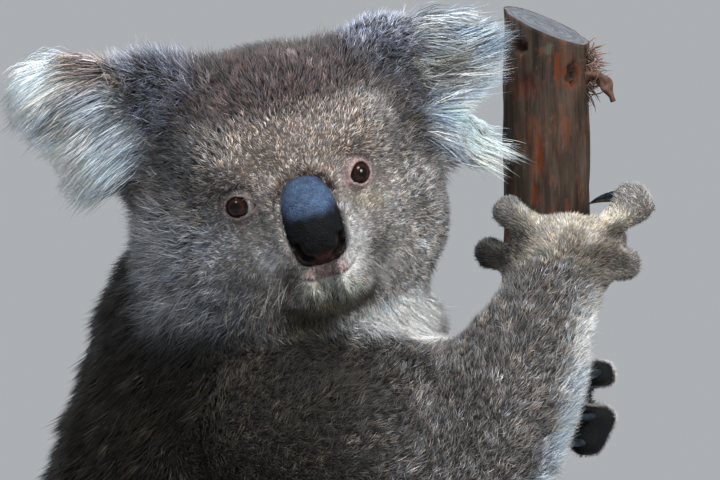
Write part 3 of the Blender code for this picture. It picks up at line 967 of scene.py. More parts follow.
# the right ear's tan rim lies above a line: how far out and how high
TAN_LINE = ((0.066, 0.0710), (0.0755, 0.0775), (0.086, 0.0870), (0.100, 0.0960))


def tan_rim(place, side):
    """How far each ear's upper edge is tan."""
    out = place[:, 0] * SIDE_SIGN[side]
    height = place[:, 2]
    if side == "left":
        return smoothstep(0.058, 0.064, height) * smoothstep(0.070, 0.080, out) * 0.45
    line = np.interp(out, *np.array(TAN_LINE).T)
    return smoothstep(-0.003, 0.003, height - line) * smoothstep(0.060, 0.068, out)


def ear_marking(skin, side):
    """Charcoal wool at the ear's base with silver above it, white on the flap, and a tan upper rim; the left
    ear's wool, silver and white are darkened as painted shade.
    """
    place = skin.in_head
    out = place[:, 0] * SIDE_SIGN[side]
    height = place[:, 2]
    dark, bright = EAR_PAINTED_SHADE[side]
    silver = smoothstep(*EAR_TOP[side], height + 0.30 * (out - 0.05))
    colour = mix(EAR_DARK * dark, EAR_SILVER * bright, silver)
    pale = np.tile(EAR_WHITE * EAR_SKYLIGHT_TINT[side], (len(place), 1))
    # the left ear's white is darkened in a band at mid height and towards the top, as painted shade
    if side == "left":
        shaded = smoothstep(0.020, 0.036, height) * smoothstep(0.062, 0.050, height)
        shade = lerp(1.0, 0.46, shaded) * lerp(1.0, 0.66, smoothstep(0.050, 0.062, height))
        pale = pale * shade[:, None]
    colour = mix(colour, pale, ear_white(skin, side))
    centre, reach, tone = EAR_HOLLOW[side]
    colour = mix(colour, tone, bump(place, centre, reach) * 0.8)
    rim = tan_rim(place, side)
    colour = mix(colour, EAR_TAN, rim * 0.9)
    behind = smoothstep(0.014, 0.024, place[:, 1]) * (1 - rim)
    back = mix(EAR_BACK, EAR_WHITE, smoothstep(0.080, 0.100, out))
    return mix(colour, back, behind * 0.85)


# where the white begins: how far out, the height below which it begins nearer the head, and by how much
WHITE_FROM = {"right": (0.0705, 0.066, 0.60), "left": (0.0760, 0.038, 0.40)}


def ear_white(skin, side):
    """1 where the ear carries its long white hair, 0 on the dark wool at its base."""
    place = skin.in_head
    start, level, slope = WHITE_FROM[side]
    out = place[:, 0] * SIDE_SIGN[side] + slope * np.maximum(level - place[:, 2], 0)
    return smoothstep(start - 0.005, start + 0.005, out)


def body_marking(skin):
    """The trunk of the body: a dark woolly back, darkened further as painted shade, a pale front and a few
    pale flecks on the rump.
    """
    x, _, z = skin.points.T
    colour = mix(BACK_DARK_AND_SHADE, ARM_GREY, smoothstep(-0.025, 0.045, x) * smoothstep(0.30, 0.42, z))
    lower = smoothstep(0.36, 0.22, z)
    colour = mix(colour, LEG_GREY, lower * 0.8)
    flecks = smoothstep(0.35, 0.9, ripple(skin.points, 0.035, 5)) * smoothstep(0.24, 0.17, z)
    colour = mix(colour, RUMP_FLECK, flecks * smoothstep(0.0, -0.08, x) * 0.7)
    front = smoothstep(0.25, 0.75, skin.normals[:, 0]) * smoothstep(-0.03, 0.02, x)
    colour = mix(colour, BELLY_PALE, front)
    return colour * (1 + 0.22 * ripple(skin.points, 0.055, 6)[:, None])


# darker places of the near arm: its dark thumb, and painted shade at its wrist, in the cleft between its two
# inner fingers and in the crook of its elbow, each with its reach
DARK_THUMB = ((0.082, -0.015, 0.480), (0.018, 0.040, 0.0125))
WRIST_SHADE = ((0.115, -0.050, 0.473), (0.018, 0.060, 0.010))
DIGIT_CLEFT_SHADE = ((0.0932, -0.050, 0.488), (0.0065, 0.060, 0.0045))
ELBOW_SHADE = ((0.068, -0.10, 0.402), (0.024, 0.2, 0.024))


def limb_marking(skin, node):
    """Grey limbs, darker towards the shoulder, partly as painted shade, with a pale fringe along the edge
    that faces the trunk, and bluish painted shade on the right forearm's lower fringe.
    """
    kind = kind_of(node)
    side = node.rsplit("_", 1)[-1]
    x, _, z = skin.points.T
    dark = mix(BACK_DARK_AND_SHADE, ARM_GREY, smoothstep(-0.008, 0.072, x))
    # painted shade in the crook of the elbow
    dark = dark * (1 - 0.45 * bump(skin.points, *ELBOW_SHADE))[:, None]
    if kind in ("thigh", "shank"):
        dark = mix(BACK_DARK_AND_SHADE, LEG_GREY, smoothstep(-0.11, -0.02, x))
        dark = mix(dark, LEG_PALE, smoothstep(0.0, 0.06, x))
    mottle = 0.22 * ripple(skin.points, 0.030, 8) + 0.26 * ripple(skin.points, 0.008, 18)
    colour = dark * (1 + mottle[:, None])
    outward = skin.normals[:, 1] * SIDE_SIGN[side]
    fringe = smoothstep(0.62, 0.92, skin.normals[:, 0]) * smoothstep(0.045, 0.075, x)
    inner = smoothstep(-0.2, -0.75, outward)
    # on the right forearm, the fringe's low part that faces -Y is bluish painted shade; elsewhere it is
    # white
    fringe_lit = np.maximum(smoothstep(0.405, 0.435, z), smoothstep(-0.25, 0.10, skin.normals[:, 1]))
    fringe_lit = np.maximum(fringe_lit, node != "forearm_right")
    colour = mix(colour, mix(FRINGE_SKY_SHADE, FRINGE_WHITE, fringe_lit), fringe)
    colour = mix(colour, BELLY_PALE, inner * 0.55 * (1 - fringe))
    # painted shade at the wrist and in the cleft between the two inner fingers
    wrist = bump(skin.points, *WRIST_SHADE)
    cleft = bump(skin.points, *DIGIT_CLEFT_SHADE)
    if kind in ("hand", "foot"):
        mottled = smoothstep(-0.5, 0.7, ripple(skin.points, 0.016, 9))
        top = smoothstep(0.1, 0.8, skin.normals[:, 2])
        colour = mix(HAND_BROWN, HAND_CREAM, np.clip(0.08 + 0.30 * mottled + 0.62 * top, 0, 1))
        claws_here = [name for name in sorted(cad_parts) if f"claw_{node}_" in name]
        ends = np.array([claw_ends(name)[0] for name in claws_here])
        reach = np.linalg.norm(skin.points[:, None, :] - ends[None], axis=2).min(axis=1)
        colour = mix(colour, DIGIT_GREY, 1 - smoothstep(0.008, 0.016, reach))
        if side == "left":
            colour = mix(colour, FRINGE_WHITE, 0.45)
        colour *= (1 - 0.7 * bump(skin.points, *DARK_THUMB))[:, None]
    return colour * ((1 - 0.32 * wrist) * (1 - 0.6 * cleft))[:, None]


# the white bib under the chin: centre and reach
THROAT = ((0.042, -0.030, 0.455), (0.036, 0.050, 0.026))


def marking(skin):
    """The coat's colour at each vertex of the skin, each part blending into the next."""
    colour = np.zeros_like(skin.points)
    head = head_marking(skin)
    body = body_marking(skin)
    throat = bump(skin.points, *THROAT) * 1.5
    front = smoothstep(0.2, 0.7, skin.normals[:, 0]) * smoothstep(0.0, 0.03, skin.points[:, 0])
    throat = np.clip(throat + front, 0, 1)
    for index, node in enumerate(COVERED):
        kind = kind_of(node)
        weight = skin.shares[:, index : index + 1]
        if kind in ("head", "nose", "eye"):
            colour += weight * head
        elif kind == "ear":
            colour += weight * ear_marking(skin, node.rsplit("_", 1)[-1])
        elif kind == "neck":
            # the neck's body colours are darkened to six tenths as painted shade under the head
            colour += weight * mix(body * 0.6, WHITE_THROAT, throat)
        elif kind == "torso":
            colour += weight * body
        else:
            colour += weight * limb_marking(skin, node)
    return np.clip(colour, 0.004, 0.95)


def mouth_line(in_head):
    """1 along the line where the lips meet."""
    x, y, z = in_head.T
    line = ridge(z - mouth_height(x), 0.0008) * smoothstep(-0.040, -0.050, y)
    return line * (1 - smoothstep(0.011, 0.015, np.abs(x)))


# how far out from the middle of the eye the bare lid reaches
RING = {"right": 0.0062, "left": 0.0068}
# the inner corner of the eye: out, inwards and down from the eye's centre, and how wide
EYE_CORNER = (0.006, 0.0078, 0.002)
EYE_CORNER_WIDE = 0.0028


def bare_face(skin):
    """Where the face shows bare skin: round the eyes and in their inner corners, and on the lips."""
    place = skin.in_head
    bare = np.zeros(len(place))
    for side, eye in EYES_IN_HEAD.items():
        across, up, out = eye_axes(side)
        sideways, upward, forward = off_eye(place, side)
        radius = np.hypot(sideways, upward)
        centre = eye + out * EYE_CORNER[0] - across * SIDE_SIGN[side] * EYE_CORNER[1] - up * EYE_CORNER[2]
        corner = np.clip(bump(place, centre, EYE_CORNER_WIDE) * 1.2, 0, 1)
        ring = (1 - smoothstep(RING[side] - 0.0006, RING[side] + 0.0006, radius)) * (forward > 0)
        bare = np.maximum(bare, np.maximum(ring, corner))
    x, y, z = place.T
    lips = 1 - smoothstep(0.75, 1.05, np.hypot((x - NOSE_ASIDE / 2) / 0.0115, (z + 0.0250) / 0.0044))
    lips *= smoothstep(-0.040, -0.050, y)
    return bare, lips


# how far out from the head's middle the hair of each ear reaches, at heights in the head frame
EAR_REACH = {
    "right": (
        (0.022, 0.084),
        (0.032, 0.105),
        (0.050, 0.109),
        (0.066, 0.119),
        (0.079, 0.123),
        (0.089, 0.110),
        (0.100, 0.094),
    ),
    "left": (
        (-0.018, 0.126),
        (-0.010, 0.130),
        (0.000, 0.126),
        (0.006, 0.108),
        (0.018, 0.096),
        (0.026, 0.110),
        (0.034, 0.121),
        (0.048, 0.121),
        (0.060, 0.112),
    ),
}


def ear_reach(side, height):
    return np.interp(height, *np.array(EAR_REACH[side]).T)


# where the head's hair is longer: by how much, centre and reach in the head frame
LONGER_HAIR = (
    (0.0040, (0, -0.060, -0.040), (0.020, 0.030, 0.010)),
    (0.0030, (0.022, -0.055, -0.030), (0.010, 0.020, 0.012)),
    (0.0100, (-0.068, -0.010, 0.002), (0.022, 0.036, 0.024)),
    (0.0050, (-0.050, -0.020, -0.045), (0.030, 0.036, 0.016)),
)
# how far each tuft's direction strays, for each kind of coat
WANDER = 0.20
WANDER_WOOL = 0.75
WANDER_BODY = 0.15
WANDER_ARM = 0.60
WANDER_HEAD = 0.36


def blend_fields(fields, wanted, share):
    for key, value in wanted.items():
        fields[key] = lerp(fields[key], value, share)


def face_coat(skin, fields):
    """Short, fine, dense hair round the muzzle and the eyes, and longer hair on the chin and cheeks."""
    face = muzzle_distance(skin.in_head)
    length = 0.0032 + 0.0068 * smoothstep(0.042, 0.098, face)
    length *= 0.62 + 0.38 * smoothstep(0.008, 0.016, eye_distance(skin.in_head))
    for more, centre, reach in LONGER_HAIR:
        length += more * bump(skin.in_head, centre, reach)
    wanted = {
        "length": length,
        "width": 0.00029 + 0.00024 * smoothstep(0.02, 0.08, face),
        "density": 400 - 225 * smoothstep(0.02, 0.065, face),
        "lift": 46 + 10 * smoothstep(0.025, 0.080, face),
    }
    blend_fields(fields, wanted, skin.share("head", "nose", "eye"))


def arm_coat(skin, fields):
    """A longer fringe down the forearms, and a finer coat on the shoulder and arm nearest the viewer."""
    fields["density"] *= 1 - 0.30 * skin.share("upper_arm_left", "forearm_left")
    fields["length"] += 0.0035 * smoothstep(0.55, 0.90, skin.normals[:, 0]) * skin.share("forearm")
    near = smoothstep(0.35, 0.41, skin.points[:, 2]) * smoothstep(0.03, -0.02, skin.points[:, 1])
    near = near * (1 - skin.share("head", "nose", "eye")) * (1 - skin.share("hand", "ear"))
    fields["density"] *= 1 + 0.7 * near
    fields["width"] *= 1 - 0.24 * near


def ear_coat(skin, fields):
    """Short upright wool at each ear's base, and long hair on its flap, shorter along the tan rim."""
    place = skin.in_head
    for side in SIDE_SIGN:
        near = side == "right"
        white = ear_white(skin, side)
        reach = np.clip(ear_reach(side, place[:, 2]) - place[:, 0] * SIDE_SIGN[side], 0.008, 0.036)
        reach *= 1 - 0.38 * tan_rim(place, side) * near
        rim = smoothstep(0.35, 0.80, skin.normals[:, 2]) * near
        wool = 0.0074 + 0.0060 * smoothstep(0.2, 0.8, skin.normals[:, 2]) * near
        wanted = {
            "length": lerp(wool, reach + 0.004 * rim, white),
            "width": lerp(0.00040, 0.00036, white),
            "density": lerp(200, 108, white),
            "lift": lerp(68, 26 + 30 * rim, white),
        }
        blend_fields(fields, wanted, skin.share(f"ear_{side}"))


def coat_fields(skin):
    """The tufts' length, width, density and lift at each vertex, and how far they stray and droop."""
    place = skin.in_head
    table = np.array([COAT[kind_of(node)] for node in COVERED])
    fields = dict(zip(("length", "width", "density", "lift"), (skin.shares @ table).T))
    face_coat(skin, fields)
    arm_coat(skin, fields)
    ear_coat(skin, fields)
    ring, lips = bare_face(skin)
    bare = np.clip(skin.bare + ring * 1.2 + lips * 0.20 + mouth_line(place), 0, 1)
    fields["density"] *= (1 - smoothstep(0.3, 0.7, bare)) * (1 - behind_nose(place))
    wool = sum(skin.share(f"ear_{side}") * (1 - ear_white(skin, side)) for side in SIDE_SIGN)
    stray = WANDER + WANDER_WOOL * wool + WANDER_BODY * skin.share("torso", "neck")
    stray = stray + WANDER_ARM * skin.share("upper_arm", "forearm")
    fields["wander"] = stray + WANDER_HEAD * skin.share("head", "nose", "eye")
    fields["droop"] = sum(skin.share(f"ear_{side}") * ear_white(skin, side) for side in SIDE_SIGN)
    fields["droop"] *= 0.30 + 0.55 * smoothstep(0.050, 0.075, place[:, 2])
    return fields


# -------------------- the tufts

TUFT_SUNK = 0.0004
TUFT_SECTION = np.array([(-0.5, -0.12), (0.5, -0.12), (0.0, 0.40)])
PATCH = 0.003
# how thick a tuft of several rings is along its length
TUFT_SWELL = ((0, 0.75), (0.3, 1.0), (0.75, 0.70), (1, 0.2))


def scatter(skin, density, chosen, rng):
    """Roots spread evenly over the chosen faces, density tufts to a square centimetre."""
    corners = skin.points[skin.triangles]
    sides = corners[:, 1:] - corners[:, :1]
    area = np.linalg.norm(np.cross(sides[:, 0], sides[:, 1]), axis=1) / 2
    weight = area * 1e4 * density[skin.triangles].mean(axis=1) * chosen
    ends = np.cumsum(weight)
    count = int(ends[-1])
    picks = (np.arange(count) + rng.random(count)) * (ends[-1] / count)
    face = np.minimum(np.searchsorted(ends, picks), len(ends) - 1)
    first = np.sqrt(rng.random(count))
    second = rng.random(count)
    weights = np.stack([1 - first, first * (1 - second), first * second], axis=1)
    return face, weights


def at_roots(values, skin, face, weights):
    """A vertex field read at the roots."""
    rows = values[skin.triangles[face]]
    if rows.ndim == 2:
        return (rows * weights).sum(axis=1)
    return (rows * weights[:, :, None]).sum(axis=1)


def unwrapped(points):
    """Places on an unwrap of this patch of skin: round its own long axis, and along it."""
    centre = points.mean(axis=0)
    _, axes = np.linalg.eigh(np.cov((points - centre).T))
    local = (points - centre) @ axes
    turn = np.arctan2(local[:, 0], local[:, 1])
    rows = np.stack([turn, local[:, 2]], axis=1)
    low = rows.min(axis=0)
    high = rows.max(axis=0)
    return 0.004 + 0.992 * (rows - low) / (high - low)


def gather(tips, roots, every, share, rng):
    """Draws the tips of neighbouring tufts together, so that the coat breaks into locks."""
    count = len(roots)
    leaders = rng.permutation(count)[: max(1, count // every)]
    tree = kdtree.KDTree(len(leaders))
    for index, leader in enumerate(leaders):
        tree.insert(roots[leader], index)
    tree.balance()
    nearest = leaders[np.array([tree.find(root)[1] for root in roots])]
    return (tips[nearest] - tips) * share, nearest


def spine_of(tufts, rings):
    """The tufts' middle lines, rings + 1 points each: they leave the skin at their lift and lie down
    on the way."""
    steps = np.linspace(0, 1, rings + 1)
    places = [tufts["root"] - tufts["normal"] * TUFT_SUNK]
    side = np.cross(tufts["normal"], tufts["flow"])
    for low, high in zip(steps[:-1], steps[1:]):
        half = (low + high) / 2
        angle = tufts["lift"] * (1 - tufts["bend"] * half)
        way = tufts["flow"] * np.cos(angle)[:, None] + tufts["normal"] * np.sin(angle)[:, None]
        way = way + side * (tufts["sway"] * (half * 2))[:, None]
        way = way + vector(0, 0, -1) * (tufts["droop"] * half)[:, None]
        places.append(places[-1] + unit(way) * (tufts["length"] * (high - low))[:, None])
    return np.stack(places, axis=1), side


def tuft_mesh(name, tufts, rings):
    """One closed three-sided spike for each tuft, thick near its root and ending in a point."""
    spine, side = spine_of(tufts, rings)
    steps = np.linspace(0, 1, rings + 1)
    if "pull" in tufts:
        spine = spine + tufts["pull"][:, None, :] * (steps**1.6)[None, :, None]
    count = len(spine)
    ahead = unit(np.diff(spine, axis=1))
    across = unit(np.cross(tufts["normal"][:, None, :], ahead))
    raised = np.cross(ahead, across)
    swell = np.interp(steps[:-1], *np.array(TUFT_SWELL).T) if rings > 1 else np.ones(1)
    size = tufts["width"][:, None] * swell[None, :]
    rows = []
    for right, up in TUFT_SECTION:
        rows.append(spine[:, :-1] + across * (size * right)[..., None] + raised * (size * up)[..., None])
    ring_points = np.stack(rows, axis=2).reshape(count, rings * 3, 3)
    points = np.concatenate([ring_points, spine[:, -1:]], axis=1)
    each = rings * 3 + 1
    base = (np.arange(count) * each)[:, None, None]
    quads = []
    for ring in range(rings - 1):
        for corner in range(3):
            following = (corner + 1) % 3
            low = ring * 3
            quads.append((low + corner, low + following, low + 3 + following, low + 3 + corner))
    last = (rings - 1) * 3
    triangles = [(2, 1, 0)] + [(last + c, last + (c + 1) % 3, each - 1) for c in range(3)]
    faces = [(base + np.array([triangles])).reshape(-1, 3)]
    if quads:
        faces.append((base + np.array([quads])).reshape(-1, 4))
    mesh = mesh_from_arrays(name, points.reshape(-1, 3), faces)
    shade_tufts(mesh, tufts, steps, count, rings)
    place_patches(mesh, tufts, faces, each, rings)
    return mesh


def shade_tufts(mesh, tufts, steps, count, rings):
    """Dark at the root, partly the hair's dark roots and partly painted shade between the tufts, the coat's
    colour along the tuft, and its tip colour at the end.
    """
    rows = []
    for step in steps:
        up = np.interp(step, [0, 0.35], [0, 1])
        toward = smoothstep(0.45, 1.0, np.array([step]))[0]
        body = tufts["base"] * (1 - up) + tufts["colour"] * up
        rows.append(body * (1 - toward) + tufts["tip"] * toward)
    table = np.stack(rows, axis=1)
    ring_rows = np.repeat(table[:, :-1], 3, axis=1)
    colours = np.concatenate([ring_rows, table[:, -1:]], axis=1)
    point_colours(mesh, "coat", colours.reshape(-1, 3))


def place_patches(mesh, tufts, faces, each, rings):
    """Gives each tuft its own small patch of the texture, at its root's place on the skin's unwrap."""
    patch = np.zeros((each, 2))
    for ring in range(rings):
        high = ring / rings
        spread = 0.5 * (1 - 0.6 * high)
        patch[ring * 3 : ring * 3 + 3] = [(-spread, high), (spread, high), (0, high - 0.12)]
    patch[-1] = (0, 1)
    patch = (patch - vector(0, 0.5)) * PATCH
    layer = mesh.uv_layers.new(name="OFBake")
    corners = np.concatenate([group.ravel() for group in faces])
    rows = tufts["uv"][corners // each] + patch[corners % each]
    layer.data.foreach_set("uv", np.clip(rows, 0, 1).astype(np.float32).ravel())


# how much a tuft's length, width and lift may differ from the coat's, and the longer guard hairs
LENGTHS = (0.68, 1.15)
WIDTHS = (0.70, 1.25)
LIFTS = (0.65, 1.30)
GUARD_SHARE = 0.08
GUARD_LONGER = 1.30
# how much neighbouring tufts and locks differ in brightness, and by how much less where it is pale
TUFT_CONTRAST = (0.50, 0.40)
LOCK_CONTRAST = (0.46, 0.38)
PATCH_CONTRAST = (0.30, 0.24)
DARK_TUFTS = (0.26, 0.23)
DARK_LESS = 0.66
HUE_STRAY = 0.07


def tuft_shapes(read, seed, rng, count):
    """Where each tuft of a piece grows, which way it lies, how long, wide and bent it is."""
    tufts = {"root": read("points"), "normal": unit(read("normals"))}
    wander = ripple(tufts["root"], 0.022, seed + 50) * 0.30 + rng.normal(0, 1, count) * read("wander")
    flow = along_surface(read("flow"), tufts["normal"])
    side = np.cross(tufts["normal"], flow)
    tufts["flow"] = unit(flow * np.cos(wander)[:, None] + side * np.sin(wander)[:, None])
    fluff = 1 + 0.16 * ripple(tufts["root"], 0.030, seed + 60)
    length = read("length") * rng.uniform(*LENGTHS, count) * fluff
    tufts["length"] = length * np.where(rng.random(count) < GUARD_SHARE, GUARD_LONGER, 1.0)
    tufts["width"] = read("width") * rng.uniform(*WIDTHS, count)
    tufts["lift"] = np.radians(read("lift") * rng.uniform(*LIFTS, count))
    tufts["bend"] = rng.uniform(0.45, 1.05, count)
    tufts["sway"] = rng.normal(0, 0.16, count)
    tufts["droop"] = read("droop")
    tufts["uv"] = unwrapped(tufts["root"])
    return tufts


def colour_tufts(tufts, colour, leader, tip, grain, seed, rng):
    """Each tuft's colour, its paler tip and its darker base, partly dark roots and partly painted shade.
    Tufts of one lock are alike.
    """
    count = len(colour)
    level = colour.mean(axis=1)
    pale = smoothstep(0.4, 0.8, level)
    tuft, lock, patch = (most - less * pale for most, less in (TUFT_CONTRAST, LOCK_CONTRAST, PATCH_CONTRAST))
    light = np.exp(rng.normal(0, 1, count) * tuft * grain)
    light *= np.exp(rng.normal(0, 1, count)[leader] * lock * grain)
    light *= 1 + patch * ripple(tufts["root"], 0.0045, seed + 70)
    dark = rng.random(count) < DARK_TUFTS[0] - DARK_TUFTS[1] * pale
    light = np.where(dark, light * (1 - DARK_LESS * grain), light)
    hue = 1 + np.outer(rng.normal(0, HUE_STRAY, count)[leader], vector(1.0, 0.0, -1.2))
    tufts["colour"] = np.clip(colour * light[:, None] * hue, 0.003, 0.92)
    gain, paler = tip
    pale_tip = paler * smoothstep(0.02, 0.25, level)[:, None] * rng.random((count, 1)) ** 3
    tufts["tip"] = np.clip(tufts["colour"] * gain + pale_tip, 0, 0.95)
    # the darker base is partly the hair's dark roots and partly painted shade between the tufts
    tufts["base"] = tufts["colour"] * (0.26 + 0.70 * smoothstep(0.12, 0.6, level))[:, None]


def coat_piece(
    skin, fields, name, chosen, slot, seed, rings=1, gathers=((10, 0.40),), tip=(1.25, 0.15), grain=1.0
):
    """Grows one piece of the coat from the chosen faces. Each pair of gathers is how many tufts share
    one lock and how far their tips draw together. tip is its gain in brightness and the most that is
    added, and grain is how strongly the tufts differ."""
    rng = np.random.default_rng(SEED + seed)
    face, weights = scatter(skin, fields["density"], chosen, rng)

    def read(field):
        return at_roots(fields[field], skin, face, weights)

    tufts = tuft_shapes(read, seed, rng, len(face))
    ends = spine_of(tufts, rings)[0][:, -1]
    tufts["pull"], leader = gather(ends, tufts["root"], *gathers[0], rng)
    for every, share in gathers[1:]:
        further, _ = gather(ends + tufts["pull"], tufts["root"], every, share, rng)
        tufts["pull"] = tufts["pull"] + further
    colour_tufts(tufts, read("colour"), leader, tip, grain, seed, rng)
    print(f"{name}: {len(face)} tufts, {len(face) * (6 * (rings - 1) + 4)} triangles")
    return add_piece(name, tuft_mesh(name, tufts, rings), FUR, slot)


# -------------------- materials


class Nodes:
    """A material's nodes, made with short calls."""

    def __init__(self, name):
        self.material = bpy.data.materials.new(name)
        self.material.use_nodes = True
        self.tree = self.material.node_tree
        self.shader = self.tree.nodes["Principled BSDF"]

    def add(self, kind, inputs=(), **settings):
        node = self.tree.nodes.new(kind)
        for key, value in settings.items():
            setattr(node, key, value)
        for key, value in dict(inputs).items():
            self.feed(node.inputs[key], value)
        return node

    def feed(self, socket, value):
        if isinstance(value, bpy.types.NodeSocket):
            self.tree.links.new(value, socket)
        else:
            socket.default_value = value

    def noise(self, scale, detail=3.0, where=None, roughness=0.55):
        inputs = {"Scale": scale, "Detail": detail, "Roughness": roughness}
        if where is not None:
            inputs["Vector"] = where
        return self.add("ShaderNodeTexNoise", inputs).outputs["Fac"]

    def ramp(self, value, *stops):
        node = self.add("ShaderNodeValToRGB", {"Fac": value})
        marks = node.color_ramp.elements
        while len(marks) < len(stops):
            marks.new(0.5)
        for mark, (place, colour) in zip(marks, stops):
            mark.position = place
            mark.color = colour if len(colour) == 4 else (*colour, 1)
        return node.outputs["Color"]

    def grey(self, value, *stops):
        return self.ramp(value, *[(place, (level, level, level)) for place, level in stops])

    def blend(self, first, second, share, mode="MIX"):
        node = self.add("ShaderNodeMix", data_type="RGBA", blend_type=mode)
        self.feed(node.inputs["Factor"], share)
        self.feed(node.inputs["A"], first if isinstance(first, bpy.types.NodeSocket) else (*first, 1))
        self.feed(node.inputs["B"], second if isinstance(second, bpy.types.NodeSocket) else (*second, 1))
        return node.outputs["Result"]

    def attribute(self, name, output="Color"):
        return self.add("ShaderNodeAttribute", attribute_name=name).outputs[output]

    def place(self):
        return self.add("ShaderNodeTexCoord").outputs["Object"]

    def cells(self, scale):
        """How far each place is from the middle of its pebble."""
        return self.add("ShaderNodeTexVoronoi", {"Vector": self.place(), "Scale": scale}).outputs["Distance"]

    def sum(self, *values, operation="ADD"):
        return self.add("ShaderNodeMath", dict(enumerate(values)), operation=operation).outputs[0]

    def times(self, *values):
        return self.sum(*values, operation="MULTIPLY")

    def hypot(self, across, up):
        return self.sum(self.sum(self.times(across, across), self.times(up, up)), operation="SQRT")

    def shaded(self, colour, *layers):
        """The colour made lighter and darker by layers of (grey, how far it counts)."""
        for grey, share in layers:
            colour = self.blend(colour, grey, share, "MULTIPLY")
        return colour

    def stretched(self, x, y, z):
        node = self.add("ShaderNodeMapping", {"Vector": self.place()})
        node.inputs["Scale"].default_value = (x, y, z)
        return node.outputs["Vector"]

    def relief(self, *layers):
        """Bump layers of (height, strength, distance), each on top of the last."""
        normal = None
        for height, strength, distance in layers:
            inputs = {"Height": height, "Strength": strength, "Distance": distance}
            if normal is not None:
                inputs["Normal"] = normal
            normal = self.add("ShaderNodeBump", inputs).outputs["Normal"]
        self.feed(self.shader.inputs["Normal"], normal)

    def set(self, **values):
        for key, value in values.items():
            self.feed(self.shader.inputs[key.replace("_", " ")], value)


def fur_material():
    """Hair in the coat's own colours, with fine lighter and darker flecks and a slight sheen."""
    make = Nodes("fur")
    flecks = make.grey(make.noise(900.0, 2.0, make.place()), (0.30, 0.82), (0.70, 1.12))
    rough = make.grey(make.noise(260.0, 2.0, make.place()), (0.3, 0.55), (0.7, 0.75))
    make.set(Base_Color=make.shaded(make.attribute("coat"), (flecks, 1.0)), Roughness=rough)
    make.set(Specular_IOR_Level=0.20, Sheen_Weight=0.06, Sheen_Roughness=0.45)
    return make.material


def skin_material():
    """Skin in the coat's own colours under the tufts, with pores and a fine nap."""
    make = Nodes("skin")
    nap = make.noise(1400.0, 3.0, make.place())
    rough = make.grey(make.noise(120.0, 2.0, make.place()), (0.3, 0.50), (0.7, 0.80))
    shade = make.grey(nap, (0.25, 0.62), (0.75, 1.20))
    make.set(Base_Color=make.shaded(make.attribute("coat"), (shade, 1.0)), Roughness=rough)
    make.set(Specular_IOR_Level=0.10)
    make.relief((make.cells(900.0), 0.35, 0.0004), (nap, 0.5, 0.0005))
    return make.material


def nose_material():
    """Pebbled leather in the nose's own colours."""
    make = Nodes("nose_leather")
    pebble = make.cells(1350.0)
    fine = make.noise(2300.0, 3.0, make.place())
    speck = make.grey(fine, (0.40, 0.55), (0.60, 1.55))
    crown = make.grey(pebble, (0.1, 1.15), (0.6, 0.70))
    make.set(Base_Color=make.shaded(make.attribute("coat"), (speck, 1.0), (crown, 0.8)))
    make.set(Roughness=make.grey(fine, (0.35, 0.50), (0.65, 0.70)), Specular_IOR_Level=0.07)
    make.relief((pebble, 0.6, 0.0006), (fine, 0.5, 0.0003))
    return make.material


def eye_material():
    """A brown iris round an upright pupil, a dark edge and a little of the grey white, all wet."""
    make = Nodes("eyeball")
    split = make.add("ShaderNodeSeparateXYZ", {"Vector": make.place()})
    across = split.outputs["X"]
    up = split.outputs["Y"]
    radius = make.times(make.hypot(across, up), 100.0)
    slit = make.times(make.hypot(make.times(across, 2.6), make.times(up, 0.92)), 100.0)
    streaks = make.noise(620.0, 4.0, make.stretched(1.0, 1.0, 0.15))
    iris = make.ramp(
        radius,
        (0.18, (0.004, 0.0015, 0.001)),
        (0.36, (0.020, 0.0055, 0.002)),
        (0.46, (0.002, 0.0012, 0.001)),
    )
    iris = make.shaded(iris, (make.grey(streaks, (0.3, 0.45), (0.7, 1.5)), 0.8))
    mottle = make.noise(300.0, 3.0, make.place())
    white = make.ramp(mottle, (0.3, (0.10, 0.09, 0.09)), (0.7, (0.20, 0.18, 0.17)))
    colour = make.blend(iris, white, make.grey(radius, (0.54, 0.0), (0.60, 1.0)))
    colour = make.blend(colour, (0.002, 0.002, 0.002), make.grey(slit, (0.235, 1.0), (0.275, 0.0)))
    make.set(Base_Color=colour, Roughness=0.30, IOR=1.38, Specular_IOR_Level=0.02)
    make.set(Coat_Weight=0.38, Coat_Roughness=0.02)
    make.relief((streaks, 0.05, 0.0002))
    return make.material


def claw_material():
    """Blue-black horn along the back of the claw, browner beneath, with fine lengthwise grooves."""
    make = Nodes("claw_horn")
    grain = make.noise(420.0, 4.0, make.stretched(1.0, 1.0, 0.3))
    top = make.ramp(grain, (0.3, (0.004, 0.007, 0.010)), (0.7, (0.016, 0.027, 0.035)))
    under = make.ramp(grain, (0.3, (0.11, 0.075, 0.045)), (0.7, (0.24, 0.17, 0.11)))
    side = make.grey(make.attribute("coat"), (0.22, 0.0), (0.48, 1.0))
    make.set(Base_Color=make.blend(under, top, side), Roughness=make.grey(grain, (0.3, 0.35), (0.7, 0.55)))
    make.set(Specular_IOR_Level=0.12)
    make.relief((grain, 0.35, 0.0004))
    return make.material


